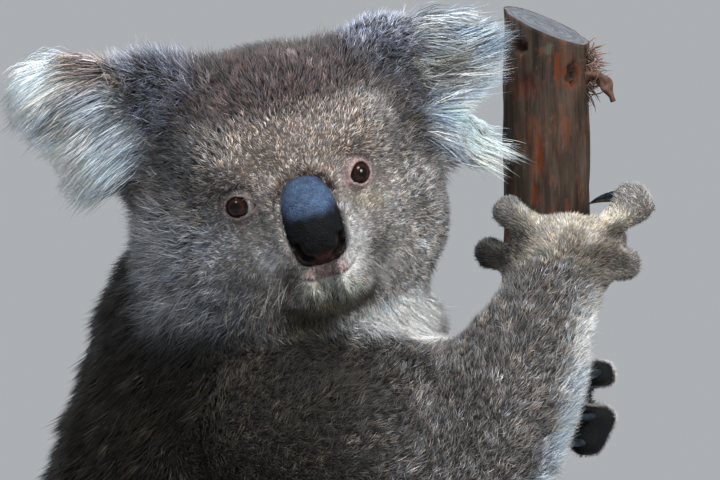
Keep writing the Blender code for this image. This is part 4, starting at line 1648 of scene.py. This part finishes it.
def bark_material():
    """Grey-brown bark in upright plates, with rust and lichen on it. Where it is stripped, the mesh's
    own colours show."""
    make = Nodes("bark")
    plates = make.noise(150.0, 5.0, make.stretched(1.0, 1.0, 0.16), 0.62)
    fibre = make.noise(900.0, 4.0, make.stretched(1.0, 1.0, 0.05))
    rust = make.noise(95.0, 4.0, make.stretched(1.0, 1.0, 0.45), 0.65)
    lichen = make.noise(140.0, 4.0, make.stretched(1.0, 1.0, 0.6), 0.7)
    colour = make.ramp(
        plates,
        (0.30, (0.008, 0.0045, 0.003)),
        (0.46, (0.023, 0.0135, 0.0085)),
        (0.60, (0.037, 0.0245, 0.016)),
        (0.74, (0.052, 0.040, 0.030)),
    )
    colour = make.blend(colour, (0.075, 0.026, 0.012), make.grey(rust, (0.54, 0.0), (0.62, 0.75)))
    colour = make.blend(colour, (0.060, 0.062, 0.044), make.grey(lichen, (0.60, 0.0), (0.70, 0.6)))
    colour = make.shaded(colour, (make.grey(fibre, (0.3, 0.60), (0.7, 1.35)), 0.8))
    colour = make.blend(colour, make.attribute("coat"), make.attribute("stripped", "Fac"))
    rough = make.grey(plates, (0.3, 0.95), (0.7, 0.75))
    make.set(Base_Color=colour, Roughness=rough, Specular_IOR_Level=0.25)
    make.relief((plates, 0.6, 0.0018), (fibre, 0.6, 0.0008))
    return make.material


def board_material():
    """Oiled walnut: long grain, darker rings and fine pores."""
    make = Nodes("base_board")
    grain = make.noise(26.0, 6.0, make.stretched(0.25, 3.2, 1.0), 0.6)
    pores = make.noise(900.0, 3.0, make.stretched(0.06, 1.0, 1.0))
    colour = make.ramp(
        grain,
        (0.30, (0.035, 0.018, 0.010)),
        (0.50, (0.085, 0.046, 0.026)),
        (0.70, (0.140, 0.082, 0.048)),
    )
    colour = make.shaded(colour, (make.grey(pores, (0.35, 0.65), (0.55, 1.1)), 0.7))
    make.set(Base_Color=colour, Roughness=make.grey(pores, (0.3, 0.34), (0.7, 0.50)))
    make.set(Coat_Weight=0.15, Coat_Roughness=0.3)
    make.relief((grain, 0.12, 0.0006), (pores, 0.25, 0.0002))
    return make.material


def rod_material():
    """Brushed steel with faint upright scratches."""
    make = Nodes("rod_steel")
    scratch = make.noise(1500.0, 3.0, make.stretched(1.0, 1.0, 0.02))
    colour = make.ramp(scratch, (0.3, (0.42, 0.42, 0.42)), (0.7, (0.60, 0.60, 0.60)))
    make.set(Base_Color=colour, Roughness=make.grey(scratch, (0.3, 0.28), (0.7, 0.46)), Metallic=1.0)
    make.relief((scratch, 0.15, 0.0001))
    return make.material


FUR = fur_material()
SKIN_MATERIAL = skin_material()
NOSE_LEATHER = nose_material()
EYEBALL = eye_material()
CLAW_HORN = claw_material()
BARK = bark_material()

# -------------------- the animal's pieces


SLIT_DARK = vector(0.050, 0.018, 0.016)
LID_EDGE = vector(0.030, 0.020, 0.018)


def skin_colours(skin, colour):
    """The skin under the coat: the coat's own markings in shade, with bare pads, lids and lips."""
    level = colour.mean(axis=1)
    under = colour * (0.24 + 0.66 * smoothstep(0.12, 0.6, level))[:, None]
    ring, lips = bare_face(skin)
    under = mix(under, PAD_BLACK, smoothstep(0.0, 0.5, skin.bare))
    under = mix(under, LIP_PINK * 0.8, lips * 0.9)
    under = mix(under, SLIT_DARK, mouth_line(skin.in_head) * 0.9)
    lid = np.where(skin.in_head[:, :1] < 0, LID_GREY, LID_PINK)
    lid = lid * (1 + 0.30 * ripple(skin.in_head, 0.0016, 13))[:, None]
    under = mix(under, lid, ring * 0.9)
    edge = np.zeros(len(under))
    for side in EYES_IN_HEAD:
        sideways, upward, _ = off_eye(skin.in_head, side)
        radius = np.hypot(sideways / LID_GAP[0], upward / LID_GAP[1])
        edge = np.maximum(edge, 1 - smoothstep(1.08, 1.24, radius))
    return mix(under, LID_EDGE, edge)


def skin_piece(skin, colour):
    point_colours(skin.mesh, "coat", skin_colours(skin, colour))
    skin.mesh.polygons.foreach_set("use_smooth", np.ones(len(skin.mesh.polygons), bool))
    return add_piece("skin", skin.mesh, SKIN_MATERIAL, "fur_face", FLESH)


def region_faces(skin, *kinds):
    """The faces that belong most to these kinds of part, or to one node if its full name is given."""
    owner = np.argmax(skin.shares, axis=1)
    inside = np.isin(owner, columns_of(kinds))
    return inside[skin.triangles].sum(axis=1) >= 2


# the coat's pieces on each side: name, the parts they cover, slot, seed and what differs
PAW_COAT = {"gathers": ((6, 0.2),), "grain": 0.5}
LIMB_PIECES = (
    ("upper_arm", ("upper_arm",), "fur_limb", 1, {}),
    ("forearm", ("forearm",), "fur_limb", 6, {}),
    ("hand", ("hand",), "fur_paw", 2, PAW_COAT),
    ("leg", ("thigh", "shank"), "fur_limb", 3, {}),
    ("foot", ("foot",), "fur_paw", 4, PAW_COAT),
)
# the white hair of the ears is long and hangs in two sizes of lock, and their wool has silver tips
FLAP_COAT = {"rings": 3, "gathers": ((14, 0.50), (90, 0.34)), "tip": (1.05, 0.05)}
WOOL_COAT = {"gathers": ((7, 0.40),), "tip": (1.9, 0.30)}
FACE_COAT = {"gathers": ((6, 0.36),), "tip": (1.25, 0.14)}
BACK_COAT = {"gathers": ((16, 0.4),)}
# the face's piece ends this far forward and to the sides, and the back's two pieces meet here
FACE_END = -0.024
FACE_HALF = 0.046
BACK_MIDDLE = 0.005


def grow_coat(skin, colour):
    """All pieces of the coat: the head, then each side's ear, limbs and half of the back, then the neck."""
    fields = coat_fields(skin)
    fields.update(colour=colour, flow=flow_of(skin), points=skin.points, normals=skin.normals)
    across, forward, _ = skin.in_head[skin.triangles].mean(axis=1).T
    depth = skin.points[skin.triangles].mean(axis=1)[:, 1]
    head = region_faces(skin, "head", "nose", "eye")
    face = head & (forward < FACE_END) & (np.abs(across) < FACE_HALF)
    coat_piece(skin, fields, "coat_face", face, "fur_face", 1, **FACE_COAT)
    coat_piece(skin, fields, "coat_head_right", head & ~face & (across < 0), "fur_face", 2)
    coat_piece(skin, fields, "coat_head_left", head & ~face & (across >= 0), "fur_face", 3)
    for side, seed in (("right", 10), ("left", 20)):
        ear = region_faces(skin, f"ear_{side}")
        white = ear_white(skin, side)[skin.triangles].mean(axis=1) > 0.4
        coat_piece(skin, fields, f"coat_ear_{side}", ear & white, "fur_ear", seed, **FLAP_COAT)
        coat_piece(skin, fields, f"coat_wool_{side}", ear & ~white, "fur_ear", seed + 7, **WOOL_COAT)
        for name, kinds, slot, more, style in LIMB_PIECES:
            faces = region_faces(skin, *(f"{kind}_{side}" for kind in kinds))
            coat_piece(skin, fields, f"coat_{name}_{side}", faces, slot, seed + more, **style)
        back = region_faces(skin, "torso") & ((depth < BACK_MIDDLE) == (side == "right"))
        coat_piece(skin, fields, f"coat_back_{side}", back, "fur_back", seed + 5, **BACK_COAT)
    coat_piece(skin, fields, "coat_neck", region_faces(skin, "neck"), "fur_back", 40)


# -------------------- the nose

NOSTRIL_ARC = ((0.0046, -0.0176), (0.0076, -0.0164), (0.0095, -0.0140), (0.0103, -0.0102))
NOSTRIL_DEEP = 0.0050
# the nose's blue is a painted reflection of the sky on its upper part; the leather itself is near black
NOSE_SKY_REFLECTION = vector(0.031, 0.050, 0.088)
NOSE_BLACK = vector(0.003, 0.0035, 0.004)
NOSTRIL_PINK = vector(0.10, 0.060, 0.050)
NOSE_RINGS = 96
NOSE_AROUND = 128
# height, half width, how far forward the front comes and how far back the rear lies, from top to bottom
NOSE_PROFILE = (
    (0.0184, 0.0022, 0.0585, 0.0560),
    (0.0172, 0.0066, 0.0612, 0.0545),
    (0.0140, 0.0099, 0.0655, 0.0525),
    (0.0090, 0.0120, 0.0708, 0.0505),
    (0.0030, 0.0131, 0.0752, 0.0500),
    (-0.0040, 0.0134, 0.0785, 0.0500),
    (-0.0105, 0.0129, 0.0797, 0.0505),
    (-0.0160, 0.0119, 0.0785, 0.0525),
    (-0.0196, 0.0098, 0.0755, 0.0545),
    (-0.0216, 0.0055, 0.0722, 0.0575),
)


def distance_to_arc(x, z, arc):
    """How far each (x, z) lies from a line through the arc's points."""
    best = np.full(len(x), 1.0)
    for (ax, az), (bx, bz) in zip(arc[:-1], arc[1:]):
        dx, dz = bx - ax, bz - az
        share = np.clip(((x - ax) * dx + (z - az) * dz) / (dx * dx + dz * dz), 0, 1)
        best = np.minimum(best, np.hypot(x - ax - share * dx, z - az - share * dz))
    return best


def nose_form():
    """The nose's plain form in the head frame: level rings from top to bottom, each broad across and
    flatter in front."""
    profile = np.array(NOSE_PROFILE)
    along = np.linspace(0, 1, len(profile))
    fine = np.linspace(0, 1, NOSE_RINGS)
    height, half_width, front, rear = (smooth_curve(along, column, fine) for column in profile.T)
    turns = np.linspace(0, 2 * math.pi, NOSE_AROUND, endpoint=False)
    sideways = np.sign(np.sin(turns)) * np.abs(np.sin(turns)) ** 0.86
    forward = np.sign(np.cos(turns)) * np.abs(np.cos(turns)) ** 0.80
    middle_line = (front + rear) / 2
    deep = (front - rear) / 2
    x = half_width[:, None] * sideways
    y = -(middle_line[:, None] + deep[:, None] * forward)
    z = np.repeat(height[:, None], NOSE_AROUND, axis=1) - 0.0010 * (x / 0.014) ** 2
    return np.stack([x, y, z], axis=2).reshape(-1, 3)


def smooth_curve(places, values, wanted):
    """A curve through the values without corners."""
    slopes = np.gradient(values, places)
    index = np.clip(np.searchsorted(places, wanted) - 1, 0, len(places) - 2)
    width = places[index + 1] - places[index]
    t = (wanted - places[index]) / width
    first = (2 * t**3 - 3 * t**2 + 1) * values[index] + (t**3 - 2 * t**2 + t) * width * slopes[index]
    second = (3 * t**2 - 2 * t**3) * values[index + 1] + (t**3 - t**2) * width * slopes[index + 1]
    return first + second


# the nose's relief: how deep or high its wings, its middle groove and its brow are
WING_HIGH = 0.0009
GROOVE_DEEP = 0.0006
NOSE_BROW = (0.0024, 0.0005)
LEATHER_WAVE = 0.00012
# the height at which the painted blue sky reflection gives way to black
SKY_REFLECTION_END = 0.0038
SEPTUM = ((0.0, -0.076, -0.0180), (0.0055, 0.02, 0.0030))
SEPTUM_RED = vector(0.040, 0.016, 0.014)
# a painted highlight on the upper right of the blue
NOSE_HIGHLIGHT = ((0.006, -0.072, 0.0075), (0.007, 0.02, 0.006))
PIT_BLACK = vector(0.001, 0.001, 0.001)


def nose_colours(place, gap, front, pit):
    """A painted blue-grey sky reflection with a painted highlight on the dome, near black below it, and
    reddish between the nostrils.
    """
    x, _, z = place.T
    edge = z - SKY_REFLECTION_END - 0.0006 * smoothstep(0.004, 0.012, x) + 0.0009 * ripple(place, 0.006, 3)
    # lit holds the painted highlight and the mottling of the painted sky reflection
    lit = 1 + 0.30 * bump(place, *NOSE_HIGHLIGHT)
    lit += 0.10 * ripple(place, 0.012, 5) + 0.16 * ripple(place, 0.0022, 6)
    colour = mix(NOSE_BLACK, NOSE_SKY_REFLECTION * lit[:, None], smoothstep(-0.0042, 0.0034, edge))
    sides = smoothstep(0.0110, 0.0130, np.abs(x)) * smoothstep(0.014, 0.002, z)
    colour = mix(colour, NOSE_BLACK, sides * 0.8)
    inner = ridge(gap - 0.0012, 0.0016) * front * smoothstep(-0.004, -0.012, z)
    colour = mix(colour, NOSTRIL_PINK, inner * smoothstep(-0.5, 0.5, ripple(place, 0.005, 4)) * 0.45)
    colour = mix(colour, SEPTUM_RED, bump(place, *SEPTUM) * 0.8)
    colour = mix(colour, PIT_BLACK, np.clip(pit * 1.1, 0, 1) * 0.9)
    return colour * (1 + 0.20 * ripple(place, 0.005, 7)[:, None])


def nose_piece():
    """The leathery nose: a dome over a flatter lower half with two comma-shaped nostrils."""
    place = nose_form()
    x, y, z = place.T
    front = smoothstep(-0.060, -0.066, y)
    gap = distance_to_arc(np.abs(x), z, NOSTRIL_ARC)
    pit = ridge(gap, 0.0018) * front * smoothstep(0.0025, 0.0055, np.abs(x))
    wing = ridge(gap - 0.0030, 0.0010) * front * smoothstep(0.0080, 0.0105, np.abs(x))
    groove = ridge(x, 0.0008) * smoothstep(-0.012, -0.018, z) * front
    brow = ridge(z - NOSE_BROW[0], 0.0024) * front
    place[:, 1] += NOSTRIL_DEEP * pit - WING_HIGH * wing + GROOVE_DEEP * groove - NOSE_BROW[1] * brow
    place[:, 1] += LEATHER_WAVE * ripple(place, 0.0035, 71)
    colour = nose_colours(place, gap, front, pit)
    place[:, 0] += NOSE_ASIDE + NOSE_LEAN * place[:, 2]
    mesh = closed_tube("nose_leather", from_head(place), NOSE_RINGS, NOSE_AROUND)
    point_colours(mesh, "coat", colour)
    return add_piece("nose_leather", mesh, NOSE_LEATHER, "nose_leather", ["nose"])


# -------------------- the eyes

EYE_RINGS = 36
EYE_SPOKES = 48
CORNEA_RADIUS = 0.0052
CORNEA_RISE = 0.0005
# rings lie closer together near the pupil
EYE_CROWDING = 1.25


def eye_piece(side):
    """An eyeball with a slightly raised cornea. Its own +Z looks out through the pupil."""
    angle = math.pi * np.linspace(0, 1, EYE_RINGS + 1)[:, None] ** EYE_CROWDING
    turn = np.linspace(0, 2 * math.pi, EYE_SPOKES, endpoint=False)
    radius = EYE_RADIUS * np.sin(angle)
    rise = CORNEA_RISE * (1 - smoothstep(0.5, 1.0, radius / CORNEA_RADIUS)) * (angle < math.pi / 2)
    height = (EYE_RADIUS * np.cos(angle) + rise) * np.ones(EYE_SPOKES)
    points = np.stack([radius * np.cos(turn), radius * np.sin(turn), height], axis=2)
    quads = ring_quads(EYE_RINGS + 1, EYE_SPOKES)[:, ::-1]
    mesh = mesh_from_arrays(f"eyeball_{side}", points.reshape(-1, 3), [quads])
    work = bmesh.new()
    work.from_mesh(mesh)
    bmesh.ops.remove_doubles(work, verts=work.verts, dist=1e-7)
    work.to_mesh(mesh)
    work.free()
    turned = HEAD_TURN @ np.stack(eye_axes(side), axis=1)
    place = Matrix(turned.tolist()).to_4x4()
    place.translation = Vector(from_head(EYES_IN_HEAD[side]))
    return add_piece(f"eyeball_{side}", mesh, EYEBALL, "eyeball", [f"eye_{side}"], place)


# -------------------- claws and whiskers


CLAW_STEPS = 22
CLAW_AROUND = 18
# half the depth and half the breadth of a claw at its root, and how far it starts inside the digit
CLAW_ROOT = {"hand": (0.0034, 0.0022), "foot": (0.0036, 0.0024)}
CLAW_SUNK = 0.0015
CLAW_BOW = 1.6
BIG_CLAW_BOW = 0.0030 * vector(0.05, -0.10, 1.0)
BIG_CLAW_GAIN = (1.15, 1.3)


def bent(start, control, end, steps):
    """A curve from start to end that bends towards control."""
    parts = ((1 - steps) ** 2, start), (2 * steps * (1 - steps), control), (steps**2, end)
    return sum(np.outer(share, place) for share, place in parts)


def claw_piece(node):
    """A curved claw, deep and narrow at its root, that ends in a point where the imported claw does."""
    root, centre, point = claw_ends(node)
    bow = centre - (root + point) / 2
    deep, broad = CLAW_ROOT["hand" if "hand" in node else "foot"]
    if node == BIG_CLAW:
        bow = BIG_CLAW_BOW
        deep, broad = deep * BIG_CLAW_GAIN[0], broad * BIG_CLAW_GAIN[1]
    steps = np.linspace(0, 1, CLAW_STEPS)
    start = root - unit(point - root) * CLAW_SUNK
    spine = bent(start, (root + point) / 2 + bow * CLAW_BOW, point, steps)
    ahead = unit(np.gradient(spine, axis=0))
    raised = along_surface(np.tile(unit(bow) + 1e-6, (CLAW_STEPS, 1)), ahead)
    across = np.cross(ahead, raised)
    taper = np.maximum(1 - steps**2.2, 0.02)[:, None, None]
    turn = np.linspace(0, 2 * math.pi, CLAW_AROUND, endpoint=False)[None, :, None]
    deeper = np.where(np.sin(turn) < 0, 0.75, 1.0)
    points = spine[:, None] + np.cos(turn) * broad * taper * across[:, None]
    points = points + np.sin(turn) * deep * taper * deeper * raised[:, None]
    name = node.replace("claw", "horn")
    mesh = closed_tube(name, points.reshape(-1, 3), CLAW_STEPS, CLAW_AROUND)
    shade = np.tile(0.5 + 0.5 * np.sin(turn.ravel()), CLAW_STEPS)
    point_colours(mesh, "coat", np.repeat(shade[:, None], 3, axis=1))
    return add_piece(name, mesh, CLAW_HORN, "claw_horn", [node])


def claws():
    for node in sorted(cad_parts):
        if node.startswith("claw_"):
            claw_piece(node)


def dress(node, material):
    node.data.materials.clear()
    node.data.materials.append(material)


WHISKERS_A_SIDE = 6
WHISKER_GREY = vector(0.42, 0.41, 0.38)
WHISKER_TIP = vector(0.60, 0.59, 0.56)


def whiskers(skin):
    """A few long pale whiskers on each side of the lips."""
    rng = np.random.default_rng(SEED + 90)
    roots = []
    flows = []
    for side in (-1, 1):
        for _ in range(WHISKERS_A_SIDE):
            spot = vector(side * rng.uniform(0.016, 0.026), -0.060, rng.uniform(-0.036, -0.020))
            gaps = np.linalg.norm((skin.in_head - spot) * vector(1, 0.3, 1), axis=1)
            roots.append(np.argmin(gaps))
            flows.append((side * rng.uniform(0.5, 1.0), rng.uniform(-0.3, 0.2), rng.uniform(-1.3, -0.5)))
    count = len(roots)
    root = skin.points[roots]
    normal = skin.normals[roots]
    tufts = {
        "root": root,
        "normal": normal,
        "flow": along_surface(unit(np.array(flows)) @ HEAD_TURN.T, normal),
        "length": rng.uniform(0.014, 0.028, count),
        "width": rng.uniform(0.00015, 0.00021, count),
        "lift": np.radians(rng.uniform(35, 60, count)),
        "bend": rng.uniform(0.3, 0.8, count),
        "sway": rng.normal(0, 0.15, count),
        "droop": np.full(count, 0.2),
        "colour": np.tile(WHISKER_GREY, (count, 1)),
        "tip": np.tile(WHISKER_TIP, (count, 1)),
        "base": np.tile(WHISKER_GREY * 0.6, (count, 1)),
        "uv": unwrapped(root),
    }
    return add_piece("whiskers", tuft_mesh("whiskers", tufts, 5), FUR, "fur_face")


# -------------------- the trunk

TRUNK_AROUND = 144
TRUNK_ROWS = 270
CUT_RINGS = 16
CUT_STEEPER = 2.0
CUT_SUNK = 0.0004
SAW_MARKS = 0.00025
MARK_DEEP = 0.0007
HOLE_DEEP = 0.004
HOLE_DARKER_THAN = 0.05
WOOD_GREY = vector(0.077, 0.084, 0.098)
WOOD_STUB = vector(0.068, 0.042, 0.03)
WOOD_ORANGE = vector(0.068, 0.0142, 0.001)
WOOD_RED = vector(0.062, 0.0198, 0.0113)
WOOD_HOLE = vector(0.012, 0.009, 0.007)
# across from the trunk's middle line on its near side, height, half width, half height and colour
MARKS = (
    (0.0048, 0.5687, 0.0022, 0.0095, WOOD_ORANGE),
    (-0.0040, 0.5250, 0.0019, 0.0110, WOOD_ORANGE),
    (-0.0066, 0.5080, 0.0016, 0.0065, WOOD_ORANGE),
    (0.0095, 0.4985, 0.0015, 0.0080, WOOD_RED),
    (-0.0115, 0.5590, 0.0075, 0.0055, WOOD_RED),
    (-0.0135, 0.5790, 0.0032, 0.0035, WOOD_HOLE),
    (0.0117, 0.5655, 0.0050, 0.0075, WOOD_ORANGE),
    (0.0120, 0.5660, 0.0030, 0.0052, WOOD_HOLE),
)


def cut_plane():
    """The saw cut's height at a place: a + b x + c y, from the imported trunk's top corners."""
    points = points_of(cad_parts["perch_branch"].data)
    top = points[points[:, 2] > PERCH_CUT_Z - 0.012]
    edge = top[top[:, 2] > PERCH_CUT_Z - 0.009 - 0.42 * (top[:, 0] - PERCH_TOP_X)]
    rows = np.stack([np.ones(len(edge)), edge[:, 0], edge[:, 1]], axis=1)
    plane = np.linalg.lstsq(rows, edge[:, 2], rcond=None)[0]
    more = plane[2] * (CUT_STEEPER - 1)
    return plane + vector(-more * PERCH_Y, 0, more)


def bark_relief(points):
    """How far the bark stands out at each point: upright plates with cracks between them."""
    rows = np.empty(len(points))
    for index, (x, y, z) in enumerate(points):
        ridges = abs(noise.noise(Vector((x * 95, y * 95, z * 17)))) * 2
        rows[index] = 0.0016 * min(ridges, 0.6) + 0.0006 * noise.noise(Vector((x * 320, y * 320, z * 60)))
    return rows - 0.0006


def cut_height(plane, x, y):
    return plane[0] + plane[1] * x + plane[2] * y


def trunk_points(plane):
    """Rings of points from the trunk's foot up to its slanted saw cut."""
    turns = np.linspace(0, 2 * math.pi, TRUNK_AROUND, endpoint=False)
    rows = []
    for step in range(TRUNK_ROWS):
        share = step / (TRUNK_ROWS - 1)
        height = np.full(TRUNK_AROUND, PERCH_CUT_Z)
        for _ in range(3):
            radius = perch_radius(height)
            x = perch_x(height) + radius * np.sin(turns)
            y = PERCH_Y - radius * np.cos(turns)
            height = PERCH_FOOT_Z + (cut_height(plane, x, y) - PERCH_FOOT_Z) * share
        rows.append(np.stack([x, y, height], axis=1))
    return np.concatenate(rows)


def mark_trunk(points):
    """Colour and strength of the stripped places on the trunk's near side."""
    across = points[:, 0] - perch_x(points[:, 2])
    near = smoothstep(0.002, -0.004, points[:, 1] - PERCH_Y)
    colour = np.tile(WOOD_RED, (len(points), 1))
    strength = np.zeros(len(points))
    rough = 0.35 * ripple(points, 0.004, 31)
    for middle_x, height, half_width, half_height, tone in MARKS:
        reach = np.hypot((across - middle_x) / half_width, (points[:, 2] - height) / half_height) + rough
        share = (1 - smoothstep(0.65, 1.15, reach)) * near
        colour = mix(colour, tone, share)
        strength = np.maximum(strength, share)
    return colour, strength


def cut_rings(plane, rim):
    """The saw cut inside its rim: rings of points that end near the middle, with their own tones."""
    core = rim.mean(axis=0)
    for ring in range(1, CUT_RINGS + 1):
        points = core + (rim - core) * (1 - ring / (CUT_RINGS + 0.6))
        points[:, 2] = cut_height(plane, points[:, 0], points[:, 1])
        points[:, 2] += SAW_MARKS * math.sin(ring * 2.4) - CUT_SUNK
        tone = 0.85 + 0.25 * math.sin(ring * 1.9) + 0.15 * ripple(points, 0.006, 33)
        yield points, WOOD_GREY * tone[:, None]


def stripped_places(mesh, share):
    """Keeps how far the bark is stripped at each vertex."""
    layer = mesh.attributes.new("stripped", "FLOAT", "POINT")
    layer.data.foreach_set("value", np.asarray(share, np.float32))


def trunk_piece():
    """The trunk: barked sides with stripped marks and hollows, and a ringed saw cut on top."""
    plane = cut_plane()
    points = trunk_points(plane)
    colour, strength = mark_trunk(points)
    hollow = strength * (colour.sum(axis=1) < HOLE_DARKER_THAN) * HOLE_DEEP
    relief = bark_relief(points) - MARK_DEEP * strength - hollow
    points = points + unit(off_perch(points)) * relief[:, None]
    caps, tones = zip(*cut_rings(plane, points[-TRUNK_AROUND:]))
    points = np.concatenate([points, *caps])
    mesh = closed_tube("trunk", points, TRUNK_ROWS + CUT_RINGS, TRUNK_AROUND)
    point_colours(mesh, "coat", np.concatenate([colour, *tones]))
    stripped_places(mesh, np.concatenate([strength, np.ones(CUT_RINGS * TRUNK_AROUND)]))
    return add_piece("trunk", mesh, BARK, "bark", ["perch_branch"])


FIBRES = 190
FIBRE_BROWN = vector(0.150, 0.096, 0.080)


def trunk_fibres():
    """Frayed strands of bark on the trunk's far edge, under its cut."""
    rng = np.random.default_rng(SEED + 95)
    height = np.clip(rng.normal(0.5665, 0.0055, FIBRES), 0.550, 0.580)
    turn = rng.uniform(0.70, 1.20, FIBRES) * math.pi / 2
    level = np.zeros(FIBRES)
    outward = np.stack([np.sin(turn), -np.cos(turn), level], axis=1)
    middles = np.stack([perch_x(height), np.full(FIBRES, PERCH_Y), height], axis=1)
    root = middles + outward * (perch_radius(height) - 0.0008)[:, None]
    upright = np.stack([level, level, np.where(rng.random(FIBRES) < 0.6, 1.0, -1.0)], axis=1)
    tufts = {
        "root": root,
        "normal": outward,
        "flow": along_surface(upright, outward),
        "length": rng.uniform(0.004, 0.015, FIBRES),
        "width": rng.uniform(0.0004, 0.0012, FIBRES),
        "lift": np.radians(rng.uniform(20, 85, FIBRES)),
        "bend": rng.uniform(-1.1, 1.1, FIBRES),
        "sway": rng.normal(0, 0.5, FIBRES),
        "droop": level,
        "colour": np.outer(rng.uniform(0.5, 1.3, FIBRES), FIBRE_BROWN),
        "uv": unwrapped(root),
    }
    tufts["tip"] = tufts["colour"] * 1.5
    tufts["base"] = tufts["colour"] * 0.5
    return add_piece("trunk_fibres", tuft_mesh("trunk_fibres", tufts, 4), FUR, "bark")


STUB_STEPS = 22
STUB_THICK = 0.0031
STUB_AROUND = 14
STUB_HEIGHT = 0.5660
STUB_REACH = vector(0.0155, -0.0020, -0.0135)
STUB_RISE = vector(0.0110, -0.0030, 0.0022)


def trunk_stub():
    """The twisted end of a dead twig that bends down from the trunk's far edge."""
    radius = perch_radius(STUB_HEIGHT)
    start = vector(perch_x(STUB_HEIGHT) + radius * 0.80, PERCH_Y - radius * 0.35, STUB_HEIGHT)
    steps = np.linspace(0, 1, STUB_STEPS)
    spine = start + np.outer(2 * steps * (1 - steps), STUB_RISE) + np.outer(steps**2, STUB_REACH)
    ahead = unit(np.gradient(spine, axis=0))
    side = unit(np.cross(ahead, vector(0, 1, 0)))
    raised = np.cross(ahead, side)
    thick = STUB_THICK * (1 - 0.45 * steps) * (1 + 0.16 * np.sin(steps * 11))
    turn = np.linspace(0, 2 * math.pi, STUB_AROUND, endpoint=False)
    along = steps[:, None]
    twist = 1 + 0.42 * np.cos(2 * (turn + 5.0 * along)) + 0.16 * np.cos(5 * turn - 9.0 * along)
    reach = (thick[:, None] * twist)[..., None]
    round_it = side[:, None] * np.cos(turn)[:, None] + raised[:, None] * np.sin(turn)[:, None]
    points = (spine[:, None] + round_it * reach).reshape(-1, 3)
    mesh = closed_tube("trunk_stub", points, STUB_STEPS, STUB_AROUND)
    shade = np.clip(0.5 + 0.5 * ripple(points, 0.0025, 35), 0, 1)
    point_colours(mesh, "coat", mix(WOOD_STUB * 1.6, WOOD_RED * 0.8, shade))
    stripped_places(mesh, np.full(len(points), 0.8))
    return add_piece("trunk_stub", mesh, BARK, "bark")


# -------------------- stand, floor and light

FLOOR_HALF = 3.0
FLOOR_LINES = 24
LIGHT_AIM = (0.02, -0.02, 0.45)
# name, place, size, power and tint
LIGHTS = (
    ("key", (0.75, -1.15, 1.75), 0.8, 35.0, (1.0, 0.985, 0.96)),
    ("sky", (-0.35, -0.1, 1.9), 1.5, 34.0, (0.93, 0.97, 1.0)),
    ("right", (1.65, -1.10, 1.05), 0.6, 22.0, (1.0, 1.0, 1.0)),
    ("fill", (-1.0, -1.6, 1.45), 0.6, 17.0, (0.90, 0.95, 1.0)),
    ("back", (0.3, 1.7, 1.4), 1.4, 19.0, (1.0, 1.0, 1.0)),
)
SKY_COLOUR = (0.82, 0.86, 0.90, 1)
SKY_STRENGTH = 0.50


def finish_stand():
    dress(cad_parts["stand_base"], board_material())
    dress(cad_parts["stand_rod"], rod_material())


def floor():
    line = np.linspace(-FLOOR_HALF, FLOOR_HALF, FLOOR_LINES)
    grid = np.array([(x, y, 0.0) for y in line for x in line])
    low = np.arange(FLOOR_LINES * (FLOOR_LINES - 1)).reshape(FLOOR_LINES - 1, FLOOR_LINES)[:, :-1].ravel()
    quads = np.stack([low, low + 1, low + FLOOR_LINES + 1, low + FLOOR_LINES], axis=1)
    mesh = mesh_from_arrays("floor", grid, [quads])
    piece = bpy.data.objects.new("floor", mesh)
    bpy.context.scene.collection.objects.link(piece)
    make = Nodes("floor_paint")
    paint = make.ramp(
        make.noise(3.0, 3.0, make.place()),
        (0.3, (0.31, 0.31, 0.307)),
        (0.7, (0.34, 0.338, 0.335)),
    )
    make.set(Base_Color=paint, Roughness=0.85)
    mesh.materials.append(make.material)


def area_light(name, place, size, power, tint):
    data = bpy.data.lights.new(name, "AREA")
    data.shape = "DISK"
    data.size = size
    data.energy = power
    data.color = tint
    lamp = bpy.data.objects.new(name, data)
    lamp.location = place
    lamp.rotation_euler = (Vector(LIGHT_AIM) - Vector(place)).to_track_quat("-Z", "Y").to_euler()
    bpy.context.scene.collection.objects.link(lamp)


def studio():
    """Soft lights on all sides under a pale sky."""
    for light in LIGHTS:
        area_light(*light)
    world = bpy.data.worlds.new("studio")
    world.use_nodes = True
    backdrop = world.node_tree.nodes["Background"]
    backdrop.inputs["Color"].default_value = SKY_COLOUR
    backdrop.inputs["Strength"].default_value = SKY_STRENGTH
    bpy.context.scene.world = world
    bpy.context.scene.view_settings.view_transform = "Standard"


CAMERA_PLACE = (0.018, -2.25, 0.4854)
CAMERA_REACH = 2.16
VIEW_WIDTH = 0.335
SENSOR = 36


def camera():
    """Level, straight along +Y, so far off that the head and the near arm fill the view."""
    data = bpy.data.cameras.new("camera")
    data.sensor_width = SENSOR
    data.lens = SENSOR * CAMERA_REACH / VIEW_WIDTH
    data.clip_end = 50
    eye = bpy.data.objects.new("camera", data)
    eye.location = CAMERA_PLACE
    eye.rotation_euler = (math.pi / 2, 0, 0)
    bpy.context.scene.collection.objects.link(eye)
    bpy.context.scene.camera = eye


# -------------------- the model

SKIN = build_skin()
COLOUR = marking(SKIN)
skin_piece(SKIN, COLOUR)
grow_coat(SKIN, COLOUR)
whiskers(SKIN)
nose_piece()
eye_piece("right")
eye_piece("left")
claws()
trunk_piece()
trunk_fibres()
trunk_stub()
finish_stand()
floor()
studio()
camera()
